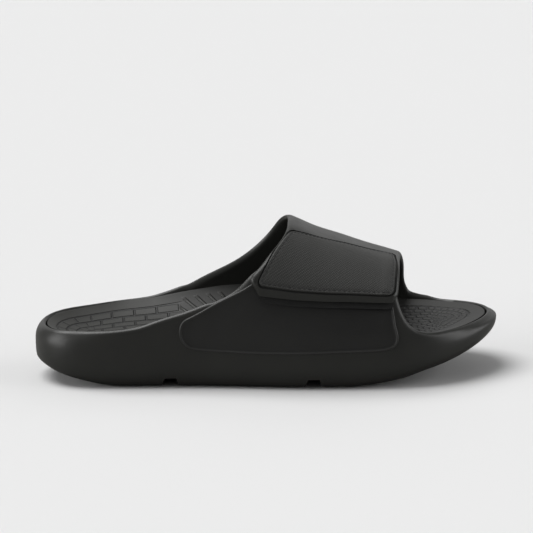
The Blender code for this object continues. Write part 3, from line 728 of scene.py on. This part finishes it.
def blend(nodes, links, factor, below, above):
    """A colour from below, at factor 0, to above, at 1. Each is a socket or a colour."""
    node = nodes.new("ShaderNodeMix")
    node.data_type = "RGBA"
    links.new(factor, node.inputs["Factor"])
    for socket, value in (("A", below), ("B", above)):
        if isinstance(value, tuple):
            node.inputs[socket].default_value = (*value, 1)
        else:
            links.new(value, node.inputs[socket])
    return node.outputs["Result"]


# Noise of the foam, in waves for each metre: change of its tone and of its shine, coarse and fine grain
TONE_SCALE, SHINE_SCALE, COARSE_SCALE, FINE_SCALE = 45, 160, 220, 2600
# How far the shine goes up and down, and the depth of the two grains
SHINE_CHANGE = 0.06
COARSE_GRAIN, FINE_GRAIN = 0.2 * MM, 0.06 * MM
# Depth of the pad's pile
PILE_GRAIN = 0.3 * MM


def foam(name, color, roughness, grain=FINE_GRAIN):
    """Matt moulded foam: fine grain, a slightly uneven skin and a little change in tone."""
    made, nodes, links, shader = new_material(name, color, roughness)
    place = nodes.new("ShaderNodeTexCoord").outputs["Object"]
    tone = noise(nodes, links, place, TONE_SCALE, 4)
    links.new(ramp(nodes, links, tone, 0.3, 0.7, shade(color, 0.9), shade(color, 1.1)),
              shader.inputs["Base Color"])
    rough = nodes.new("ShaderNodeMapRange")
    links.new(noise(nodes, links, place, SHINE_SCALE, 2), rough.inputs["Value"])
    rough.inputs["To Min"].default_value = roughness - SHINE_CHANGE
    rough.inputs["To Max"].default_value = roughness + SHINE_CHANGE
    links.new(rough.outputs["Result"], shader.inputs["Roughness"])
    coarse = bump(nodes, links, noise(nodes, links, place, COARSE_SCALE, 2), COARSE_GRAIN, 0.25)
    fine = bump(nodes, links, noise(nodes, links, place, FINE_SCALE, 2), grain, 0.5, coarse)
    links.new(fine, shader.inputs["Normal"])
    return made


# How far inside the panel's outline its lip ends, and the painted highlight on the lip as a share of the
# foam's colour
PANEL_LIP, LIP_HIGHLIGHT_TONE = 1.9 * MM, 2.2


def foam_with_lip_highlight(name, color, roughness):
    """Foam with a painted highlight on the panel's lip. UV Y says how far a point lies inside the
    outline.
    """
    made = foam(name, color, roughness)
    nodes, links = made.node_tree.nodes, made.node_tree.links
    base = nodes["Principled BSDF"].inputs["Base Color"]
    inside = parts(nodes, links, nodes.new("ShaderNodeTexCoord").outputs["UV"])["Y"]
    lip = fade(nodes, links, inside, PANEL_LIP, PANEL_LIP / 2)
    # Painted highlight: the lip's colour is made paler
    links.new(blend(nodes, links, lip, base.links[0].from_socket, shade(color, LIP_HIGHLIGHT_TONE)), base)
    return made


# Embossing of the footbed. Bricks: width, height and the gap between them. The other pairs say where a
# pattern starts and where it is full, along the shoe, across it or in from the footbed's edge
HEEL_BRICKS, TOE_BRICKS = (14.2 * MM, 6.2 * MM, 0.9 * MM), (6.6 * MM, 5.2 * MM, 1.4 * MM)
HEEL_ALONG, HEEL_IN = (-50 * MM, -62 * MM), (5.5 * MM, 5.9 * MM)
TOE_ALONG, TOE_IN = (48 * MM, 62 * MM), (8.5 * MM, 10.5 * MM)
ARCH_ALONG, ARCH_ENDS = (-54 * MM, -50 * MM), (-20 * MM, -26 * MM)
ARCH_ACROSS, ARCH_IN, ARCH_OUT = (10 * MM, 14 * MM), (3 * MM, 6 * MM), (19 * MM, 16 * MM)
# The arch's ribs: distance between them, how far they lean and how wide they are
ARCH_PITCH, ARCH_SLANT, ARCH_RIB = 7.8 * MM, 0.9, (0.35, 0.9)
# Where the footbed gets a painted shade ahead of the heel, under the strap
STRAP_SHADE_ALONG = (-80 * MM, -40 * MM)
# Tones of the painted shade under the strap, of the painted light on the toe's raised ribs, of the
# painted shade in the grooves between bricks and of the painted light on the arch's ribs: share of the
# foam's colour, how much of it they cover
STRAP_SHADE_TONE, RIB_TOP_LIGHT_TONE, GROOVE_SHADE_TONE, ARCH_RIB_LIGHT_TONE = (0.45, 0.75), (1.5, 0.3), (0.1, 0.85), (1.9, 0.5)
EMBOSS_DEPTH = 1.8 * MM


def footbed_foam(name, color, roughness):
    """Foam embossed with cells at the heel, rows of short ribs at the toe and ribs at the arch, with
    painted shade under the strap and in the grooves, and painted light on the ribs.
    """
    made, nodes, links, shader = new_material(name, color, roughness)
    coordinates = nodes.new("ShaderNodeTexCoord")
    place, along = coordinates.outputs["Object"], coordinates.outputs["UV"]
    x, y, _ = parts(nodes, links, place)
    edge = parts(nodes, links, along)["Y"]

    def maths(operation, first, second):
        return math_node(nodes, links, operation, first, second)

    def within(source, limits):
        return fade(nodes, links, source, *limits)

    def bricks(width, height, gap):
        node = nodes.new("ShaderNodeTexBrick")
        node.inputs["Scale"].default_value = 1
        node.inputs["Brick Width"].default_value = width
        node.inputs["Row Height"].default_value = height
        node.inputs["Mortar Size"].default_value = gap
        node.inputs["Mortar Smooth"].default_value = 0.6
        links.new(along, node.inputs["Vector"])
        return node.outputs["Fac"]

    def product(*factors):
        found = factors[0]
        for factor in factors[1:]:
            found = maths("MULTIPLY", found, factor)
        return found

    heel = product(bricks(*HEEL_BRICKS), within(x, HEEL_ALONG), within(edge, HEEL_IN))
    toe = product(bricks(*TOE_BRICKS), within(x, TOE_ALONG), within(edge, TOE_IN))
    slant = maths("ADD", maths("MULTIPLY", y, ARCH_SLANT), x)
    wave = maths("SINE", maths("MULTIPLY", slant, 2 * math.pi / ARCH_PITCH), 0)
    arch = product(within(wave, ARCH_RIB), within(x, ARCH_ALONG), within(x, ARCH_ENDS),
                   within(y, ARCH_ACROSS), within(edge, ARCH_IN), within(edge, ARCH_OUT))
    lines = maths("MAXIMUM", heel, toe)
    lit_rib_tops = product(maths("SUBTRACT", 1.0, toe), within(x, TOE_ALONG), within(edge, TOE_IN))
    uneven = noise(nodes, links, place, 60, 4)
    tone = ramp(nodes, links, uneven, 0.3, 0.7, shade(color, 0.92), shade(color, 1.08))
    # Painted shade under the strap and in the grooves between bricks, painted light on the toe's rib
    # tops and on the arch's ribs
    zones = (within(x, STRAP_SHADE_ALONG), STRAP_SHADE_TONE), (lit_rib_tops, RIB_TOP_LIGHT_TONE), (lines, GROOVE_SHADE_TONE), (arch, ARCH_RIB_LIGHT_TONE)
    for zone, (share, cover) in zones:
        tone = blend(nodes, links, maths("MULTIPLY", zone, cover), tone, shade(color, share))
    links.new(tone, shader.inputs["Base Color"])
    height = maths("ADD", maths("SUBTRACT", 1.0, lines), arch)
    grain = bump(nodes, links, noise(nodes, links, place, FINE_SCALE, 2), FINE_GRAIN, 0.5)
    links.new(bump(nodes, links, height, EMBOSS_DEPTH, 1.0, grain), shader.inputs["Normal"])
    return made


# The weave: distance between its threads, degrees by which they lean, and its depth. Its fibres:
# waves for each metre and depth
WEAVE_PITCH, WEAVE_ANGLE, WEAVE_DEPTH = 1.1 * MM, 52, 0.18 * MM
FIBRE_SCALE, FIBRE_DEPTH = 3000, 0.08 * MM


def woven(name, color, roughness):
    """A fine diamond weave, in UV metres, with painted shade between its threads and painted light on
    their crests.
    """
    made, nodes, links, shader = new_material(name, color, roughness)
    coordinates = nodes.new("ShaderNodeTexCoord")
    waves = []
    for angle in (WEAVE_ANGLE, -WEAVE_ANGLE):
        turned = nodes.new("ShaderNodeMapping")
        turned.inputs["Rotation"].default_value = (0, 0, math.radians(angle))
        links.new(coordinates.outputs["UV"], turned.inputs["Vector"])
        wave = nodes.new("ShaderNodeTexWave")
        # At scale 1 the bands lie pi / 10 apart
        wave.inputs["Scale"].default_value = math.pi / 10 / WEAVE_PITCH
        links.new(turned.outputs["Vector"], wave.inputs["Vector"])
        waves.append(wave.outputs["Fac"])
    height = math_node(nodes, links, "MULTIPLY", *waves)
    # Painted shade in the weave's hollows and painted light on its crests
    tone = ramp(nodes, links, height, 0.05, 0.6, shade(color, 0.8), shade(color, 1.12))
    links.new(tone, shader.inputs["Base Color"])
    fuzz = noise(nodes, links, coordinates.outputs["Object"], FIBRE_SCALE, 3)
    fibre = bump(nodes, links, fuzz, FIBRE_DEPTH, 0.6)
    links.new(bump(nodes, links, height, WEAVE_DEPTH, 0.8, fibre), shader.inputs["Normal"])
    return made


# Pieces

def groove_cutter(share):
    """A bar across the underside, narrower at its top."""
    bm = bmesh.new()
    bmesh.ops.create_cube(bm, size=1)
    for vertex in bm.verts:
        top = vertex.co.z > 0
        vertex.co.x *= GROOVE_TOP if top else GROOVE_WIDTH
        vertex.co.y *= 2 * BALL_WIDTH
        vertex.co.z = GROOVE_HEIGHT if top else -CUTTER_REACH
        vertex.co.x += share * LENGTH
    return add_object(f"groove_{round(share * 100)}", bm, sharp=0)


def cut_by(obj, cutter):
    modifier = obj.modifiers.new(cutter.name, "BOOLEAN")
    modifier.operation = "DIFFERENCE"
    modifier.solver = "EXACT"
    modifier.object = cutter


# The flap's length and width, and its bead: distance inside the flap's end, half width and height
FLAP_PATH, FLAP_WIDTH = 180 * MM, 86 * MM
BEAD_INSET, BEAD_WIDTH, BEAD_HEIGHT = 2.4 * MM, 1.1 * MM, 1.1 * MM
# The turn where it starts, the degrees over which it grows, and its share of height at the flap's sides
BEAD_START, BEAD_GROWTH, BEAD_SIDE = 112, 18, 0.7


def bead(wing, column, row):
    """Height of the thin bead that runs along the flap's end and its two sides."""
    turn = wing.sheet_point(column, row)[1]
    zone = min(max((turn - BEAD_START) / BEAD_GROWTH, 0), 1)
    to_end = (1 - wing.rows[row]) * FLAP_PATH
    across = wing.across(column)
    to_side = min(across, 1 - across) * FLAP_WIDTH
    near = math.exp(-(((to_end - BEAD_INSET) / BEAD_WIDTH) ** 2))
    near += BEAD_SIDE * math.exp(-((to_side / (2 * BEAD_WIDTH)) ** 2))
    return BEAD_HEIGHT * zone * min(near, 1)


# Length shares between which the sole's side has its soft horizontal line, and how sharp it is
LINE_ENDS, LINE_CREASE = (0.26, 0.80), 0.8
# The flap's recess: how far it reaches beyond the inset, and its depth
RECESS_MARGIN, RECESS_DEPTH = 0.35 * MM, 1.3 * MM
# Vertices nearer to each other than this become one, in the body and in the panel
BODY_WELD, PANEL_WELD = 0.01 * MM, 0.02 * MM


def make_body(finish):
    """The moulded foam body: sole, side walls, tab, strap and flap in one piece."""
    bm = bmesh.new()
    ring_loop(bm, len(RINGS), COLUMNS)
    for wing in WINGS.values():
        raise_wing(bm, wing)
    column_layer, ring_layer, row_layer = ids(bm, "column", "ring", "row")
    for vertex in bm.verts:
        column, ring, row = vertex[column_layer], RINGS[vertex[ring_layer]], vertex[row_layer]
        spot = body_point(column, ring, row)
        if row and ring == "rim_out" and column_side(column) == 1:
            x, turn = STRAP.sheet_point(column, row)
            spot = layer(x, turn, flap_rise(turn) + bead(STRAP, column, row))
        vertex.co = spot
    crease = bm.edges.layers.float.new("crease_edge")
    for edge in bm.edges:
        share = edge.verts[0].co.x / LENGTH
        on_ridge = all(RINGS[v[ring_layer]] == "ridge" for v in edge.verts)
        if on_ridge and LINE_ENDS[0] < share < LINE_ENDS[1]:
            edge[crease] = LINE_CREASE
    bmesh.ops.remove_doubles(bm, verts=bm.verts[:], dist=BODY_WELD)
    made = add_object("moulded_body", bm, finish)
    smooth = made.modifiers.new("smooth", "SUBSURF")
    smooth.levels = smooth.render_levels = 1
    cutters = [groove_cutter(share) for share in GROOVES]
    cutters.append(add_object("recess", patch(-RECESS_MARGIN, recess_lift), sharp=0))
    for cutter in cutters:
        cut_by(made, cutter)
    settle(made, sharp=38)
    for cutter in cutters:
        bpy.data.objects.remove(cutter)
    return made


# Lines of a patch's grid, as shares across and down
PATCH_LINES = [0.0, 0.008, 0.018, 0.03, 0.045, 0.06, 0.08, 0.11, 0.15, 0.2, 0.26, 0.33, 0.41, 0.5]
PATCH_LINES += [1 - share for share in PATCH_LINES[-2::-1]]


def patch_spot(across, down, margin):
    """Length and turn on the inset: across from its rear, down from its top, 0 to 1."""
    pull = 1.0
    for edge in (down, 1 - down):
        if edge < PATCH_ROUND:
            pull = min(pull, 1 - PATCH_ROUND * (1 - math.sqrt(1 - (1 - edge / PATCH_ROUND) ** 2)))
    across = 0.5 + (across - 0.5) * pull
    rear_top, front_top, front_low, rear_low = np.array(INSET_CORNERS)
    spot = mix(mix(rear_top, rear_low, down), mix(front_top, front_low, down), across)
    spot = spot * (LENGTH, 1)
    degrees = math.degrees(margin / (BALL_WIDTH / 2))
    return spot + ((1 - 2 * across) * margin, (1 - 2 * down) * degrees)


def patch(margin, lift):
    """A slab over the flap.

    lift takes the shares across and down, the turn, and 0 for its inner or 1 for its outer face.
    """
    count = len(PATCH_LINES) - 1

    def place(column, row, face):
        across, down = PATCH_LINES[column], PATCH_LINES[row]
        x, turn = patch_spot(across, down, margin)
        return layer(x, turn, lift(across, down, turn, face))

    return slab(count, count, place)


def recess_lift(across, down, turn, face):
    return flap_rise(turn) + (2 * CUTTER_REACH if face else -RECESS_DEPTH)


# The inset's size, how far it stands over the flap, how deep its inner face lies, and its round edge
INSET_WIDTH, INSET_HEIGHT = 78 * MM, 46 * MM
INSET_LIFT, INSET_SINK, INSET_ROLL = 0.15 * MM, 1.2 * MM, 0.9 * MM
# Its sewn channel and the fold at its front: distance inside the edge, half width, depth or height
CHANNEL, FOLD = (2.0 * MM, 0.7 * MM, 0.28 * MM), (5.5 * MM, 2 * MM, 0.35 * MM)


def swell(distance, form):
    """Height of a soft ridge at this distance from an edge. form is its place, half width and height."""
    place, width, height = form
    return height * math.exp(-(((distance - place) / width) ** 2))


def inset_lift(across, down, turn, face):
    """The inset's top rolls down at its edge and has a sewn channel, and a fold at its front."""
    if not face:
        return flap_rise(turn) - INSET_SINK
    near = min(min(across, 1 - across) * INSET_WIDTH, min(down, 1 - down) * INSET_HEIGHT)
    roll = max(1 - near / INSET_ROLL, 0) ** 2 * INSET_ROLL
    fold = swell((1 - across) * INSET_WIDTH, FOLD)
    return flap_rise(turn) + INSET_LIFT - roll - swell(near, CHANNEL) + fold


def make_inset(finish):
    bm = patch(GAP, inset_lift)
    column_layer, row_layer = ids(bm, "column", "row")

    def spot(vertex):
        x, turn = patch_spot(PATCH_LINES[vertex[column_layer]], PATCH_LINES[vertex[row_layer]], 0)
        return x, math.radians(turn) * BALL_WIDTH / 2

    uv_map(bm, spot)
    made = add_object("woven_inset", bm, finish, sharp=60)
    smooth = made.modifiers.new("smooth", "SUBSURF")
    smooth.levels = smooth.render_levels = 2
    return made


def outline_walk(margin, samples):
    """Points round the inset, a margin inside its edge, as shares across and down."""
    across, down = margin / INSET_WIDTH, margin / INSET_HEIGHT
    corners = [(across, down), (1 - across, down), (1 - across, 1 - down), (across, 1 - down)]
    lengths = [INSET_WIDTH, INSET_HEIGHT, INSET_WIDTH, INSET_HEIGHT]
    points = []
    for i, length in enumerate(lengths):
        count = round(samples * length / sum(lengths))
        start, end = np.array(corners[i]), np.array(corners[(i + 1) % 4])
        points += [mix(start, end, j / count) for j in range(count)]
    return points


# The inset's thread: its radius, the points of the walk round the inset, and how many of them belong to
# each stitch and its gap
THREAD_RADIUS, WALK_POINTS, STITCH_POINTS = 0.28 * MM, 328, 4
# Points of a stitch: points of the walk from its start, height over the channel
STITCH = ((0, -0.12 * MM), (1.3, 0.1 * MM), (2.6, -0.12 * MM))


def make_stitches(finish):
    """A row of short stitches in the inset's sewn channel."""
    curve = bpy.data.curves.new("inset_stitches", "CURVE")
    curve.dimensions = "3D"
    curve.bevel_depth = THREAD_RADIUS
    curve.bevel_resolution = 2
    curve.use_fill_caps = True
    walk = outline_walk(CHANNEL[0], WALK_POINTS)
    for start in range(0, len(walk) - STITCH_POINTS + 1, STITCH_POINTS):
        spline = curve.splines.new("POLY")
        spline.points.add(len(STITCH) - 1)
        for point, (step, rise) in zip(spline.points, STITCH):
            low, high = walk[start + int(step)], walk[(start + int(step) + 1) % len(walk)]
            across, down = mix(low, high, step - int(step))
            x, turn = patch_spot(across, down, GAP)
            spot = layer(x, turn, inset_lift(across, down, turn, 1) + rise) - (LENGTH / 2, 0, 0)
            point.co = (*spot, 1)
    curve.materials.append(finish)
    made = bpy.data.objects.new("inset_stitches", curve)
    bpy.context.scene.collection.objects.link(made)
    return made


# Distance inside the panel's outline, height over the wall, both in millimetres
PANEL_PROFILE = (
    (0.0, -0.25), (0.1, 0.35), (0.28, 0.9), (0.55, 1.18), (0.9, 1.2), (1.3, 0.98), (1.8, 0.65),
    (2.4, 0.47), (3.2, 0.42),
)
# Share of the way from the panel's middle line to the last of them, height in millimetres
PANEL_FILL = ((0.8, 0.48), (0.6, 0.58), (0.4, 0.64), (0.2, 0.66), (0.0, 0.66))


def make_side_panel(finish):
    """The raised panel, with a thin round lip at its outline."""
    outline = closed_curve([panel_spot(*spot) for spot in PANEL_OUTLINE], PANEL_POINTS)
    tangent = np.roll(outline, -1, axis=0) - np.roll(outline, 1, axis=0)
    inward = np.stack([-tangent[:, 1], tangent[:, 0]], axis=1)
    inward /= np.linalg.norm(inward, axis=1)[:, None]
    if ((outline.mean(axis=0) - outline) * inward).sum() < 0:
        inward = -inward
    (rear_x, rear_z), (front_x, front_z) = (panel_spot(*spot) for spot in PANEL_SPINE)
    rings = [(distance * MM, 1.0, lift * MM) for distance, lift in PANEL_PROFILE]
    rings += [(PANEL_PROFILE[-1][0] * MM, share, lift * MM) for share, lift in PANEL_FILL]
    bm = bmesh.new()
    ring_loop(bm, len(rings), PANEL_POINTS)
    column_layer, ring_layer = ids(bm, "column", "ring")
    for vertex in bm.verts:
        i = vertex[column_layer]
        distance, share, lift = rings[vertex[ring_layer]]
        x, z = outline[i] + inward[i] * distance
        along = min(max((x - rear_x) / (front_x - rear_x), 0), 1)
        if share == 0:
            along = round(along * PANEL_STEPS) / PANEL_STEPS
        middle = mix(np.array([rear_x, rear_z]), np.array([front_x, front_z]), along)
        vertex.co = on_wall(*mix(middle, np.array([x, z]), share), lift)
    uv_map(bm, lambda vertex: (0, rings[vertex[ring_layer]][0]))
    bmesh.ops.remove_doubles(bm, verts=bm.verts[:], dist=PANEL_WELD)
    return add_object("raised_panel", bm, finish, sharp=0)


# Rings of the footbed's top: share from the spine to its edge, drop in millimetres
BED_TOP = (
    (0, 0.0), (0.12, 0.0), (0.24, 0.0), (0.36, 0.0), (0.48, 0.0), (0.58, 0.0), (0.67, 0.0),
    (0.75, 0.0), (0.82, 0.0), (0.88, 0.0), (0.93, 0.0), (0.965, 0.0), (0.985, 0.0), (0.997, 0.05),
    (1.0, 0.2),
)
# Rings of its underside: share from the spine to its edge
BED_UNDER = (1.0, 0.6, 0.0)
# Inset at which the embossing's length round the footbed is measured
WALK_INSET = 8 * MM


def footbed_point(column, level):
    """Levels run from the top's spine to its edge, down the edge, and back under to the spine."""
    high = bed_edge[column_side(column)](column_x(column))
    inset = seat_inset(column)
    if level < len(BED_TOP):
        share, drop = BED_TOP[level]
        edge = wall_point(column, high, 1)[:2]
        inward = spine(column) - edge
        edge = edge + inward * SEAT_CLEARANCE / np.linalg.norm(inward)
        x, y = mix(spine(column), edge, share)
        return np.array([x, y, mix(bed_middle(x), high, share**BED_POWER) - drop * MM])
    share = BED_UNDER[level - len(BED_TOP)]
    place = seat_point(column, share, inset + (SEAT_CLEARANCE if share == 1.0 else 0))
    return place + (0, 0, GAP)


def make_footbed(finish):
    """The moulded insole, with its heel cup and its arch."""
    bm = bmesh.new()
    ring_loop(bm, len(BED_TOP) + len(BED_UNDER), COLUMNS)
    column_layer, ring_layer = ids(bm, "column", "ring")
    walked = [0.0]
    for column in range(COLUMNS):
        step = inset_point((column + 1) % COLUMNS, WALK_INSET) - inset_point(column, WALK_INSET)
        walked.append(walked[-1] + float(np.linalg.norm(step)))
    for vertex in bm.verts:
        vertex.co = footbed_point(vertex[column_layer], vertex[ring_layer])
    layer_uv = bm.loops.layers.uv.new("metres")
    for face in bm.faces:
        columns = [loop.vert[column_layer] for loop in face.loops]
        wraps = max(columns) - min(columns) > 1
        for loop in face.loops:
            column, vertex = loop.vert[column_layer], loop.vert
            edge = inset_point(column, seat_inset(column))
            out = float(np.linalg.norm(np.array(vertex.co[:2]) - edge))
            loop[layer_uv].uv = (walked[COLUMNS if wraps and column == 0 else column], out)
    made = add_object("insole", bm, finish, sharp=50)
    smooth = made.modifiers.new("smooth", "SUBSURF")
    smooth.levels = smooth.render_levels = 1
    return made


# Half the floor's width, and its tone as the camera sees it and as it lights the shoe
FLOOR_REACH = 6
FLOOR_SEEN, FLOOR_LIGHT = (0.725, 0.725, 0.725), (0.28, 0.28, 0.27)
# Soft far lights: strength, width in degrees, the way they shine
SUNS = {
    "sky_top": (2.5, 45, (0.42, -0.15, -1)),
    "sky_left": (1.9, 50, (0.96, 0.25, -0.15)),
    "sky_right": (1.2, 50, (-0.98, 0.08, -0.3)),
    "backdrop": (0.55, 80, (-0.1, -1, -0.3)),
}
WORLD_STRENGTH = 0.15
# The photograph's view: degrees round the shoe, to its heel, and up; lens and sensor in millimetres;
# metres across the picture at the shoe; the point it looks at; how far it sees
CAMERA_AZIMUTH, CAMERA_ELEVATION = -5, 14
CAMERA_LENS, CAMERA_SENSOR = 300, 36
VIEW_WIDTH = 0.3320
VIEW_CENTER = (-0.0007, 0.0, 0.0670)
VIEW_REACH = 50


def make_stage():
    """A plain pale floor that sends only part of its light back to the shoe."""
    bm = bmesh.new()
    bmesh.ops.create_grid(bm, x_segments=1, y_segments=1, size=FLOOR_REACH)
    floor, nodes, links, shader = new_material("floor", FLOOR_SEEN, 0.9)
    shader.inputs["Specular IOR Level"].default_value = 0
    seen = nodes.new("ShaderNodeLightPath").outputs["Is Camera Ray"]
    links.new(blend(nodes, links, seen, FLOOR_LIGHT, FLOOR_SEEN), shader.inputs["Base Color"])
    made = add_object("floor", bm, floor, sharp=0)


def add_sun(name, strength, angle, toward):
    """A far soft light that shines along a direction."""
    light = bpy.data.lights.new(name, "SUN")
    light.energy = strength
    light.angle = math.radians(angle)
    made = bpy.data.objects.new(name, light)
    made.rotation_euler = Vector(toward).to_track_quat("-Z", "Y").to_euler()
    bpy.context.scene.collection.objects.link(made)


def make_camera():
    """A long lens, a little above the shoe and turned a little to its heel."""
    camera = bpy.data.cameras.new("camera")
    camera.lens = CAMERA_LENS
    camera.sensor_width = CAMERA_SENSOR
    camera.clip_end = VIEW_REACH
    azimuth, elevation = math.radians(CAMERA_AZIMUTH), math.radians(CAMERA_ELEVATION)
    distance = CAMERA_LENS / CAMERA_SENSOR * VIEW_WIDTH
    level = math.cos(elevation)
    out = Vector((math.sin(azimuth) * level, -math.cos(azimuth) * level, math.sin(elevation)))
    target = Vector(VIEW_CENTER)
    made = bpy.data.objects.new("camera", camera)
    made.location = target + out * distance
    made.rotation_euler = (-out).to_track_quat("-Z", "Y").to_euler()
    bpy.context.scene.collection.objects.link(made)
    bpy.context.scene.camera = made


def make_world():
    world = bpy.data.worlds.new("studio")
    world.use_nodes = True
    background = world.node_tree.nodes["Background"]
    background.inputs["Color"].default_value = (1, 1, 1, 1)
    background.inputs["Strength"].default_value = WORLD_STRENGTH
    bpy.context.scene.world = world


def main():
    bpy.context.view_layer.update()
    make_camera()
    make_world()
    make_stage()
    bpy.context.scene.view_settings.view_transform = "Standard"
    for name, sun in SUNS.items():
        add_sun(name, *sun)
    skin = foam("charcoal_skin", (0.0190, 0.0192, 0.0172), 0.38)
    dress(make_body(skin), "sole_and_upper")
    insole = footbed_foam("insole_skin", (0.029, 0.0292, 0.0262), 0.55)
    dress(make_footbed(insole), "footbed")
    # The panel's lip carries a painted highlight
    panel = foam_with_lip_highlight("panel_skin", (0.013, 0.013, 0.0125), 0.4)
    dress(make_side_panel(panel), "side_panel")
    weave = woven("weave", (0.034, 0.0342, 0.032), 0.6)
    dress(make_inset(weave), "strap_inset")
    thread = foam("thread", (0.016, 0.016, 0.016), 0.7)
    dress(make_stitches(thread), None)
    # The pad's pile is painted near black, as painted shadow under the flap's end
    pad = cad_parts["fastening_pad"]
    loop_pile_painted_shadow = foam("loop_pile_painted_shadow", (0.012, 0.012, 0.012), 0.9, PILE_GRAIN)
    for pad_slot in pad.material_slots:
        pad_slot.material = loop_pile_painted_shadow


main()
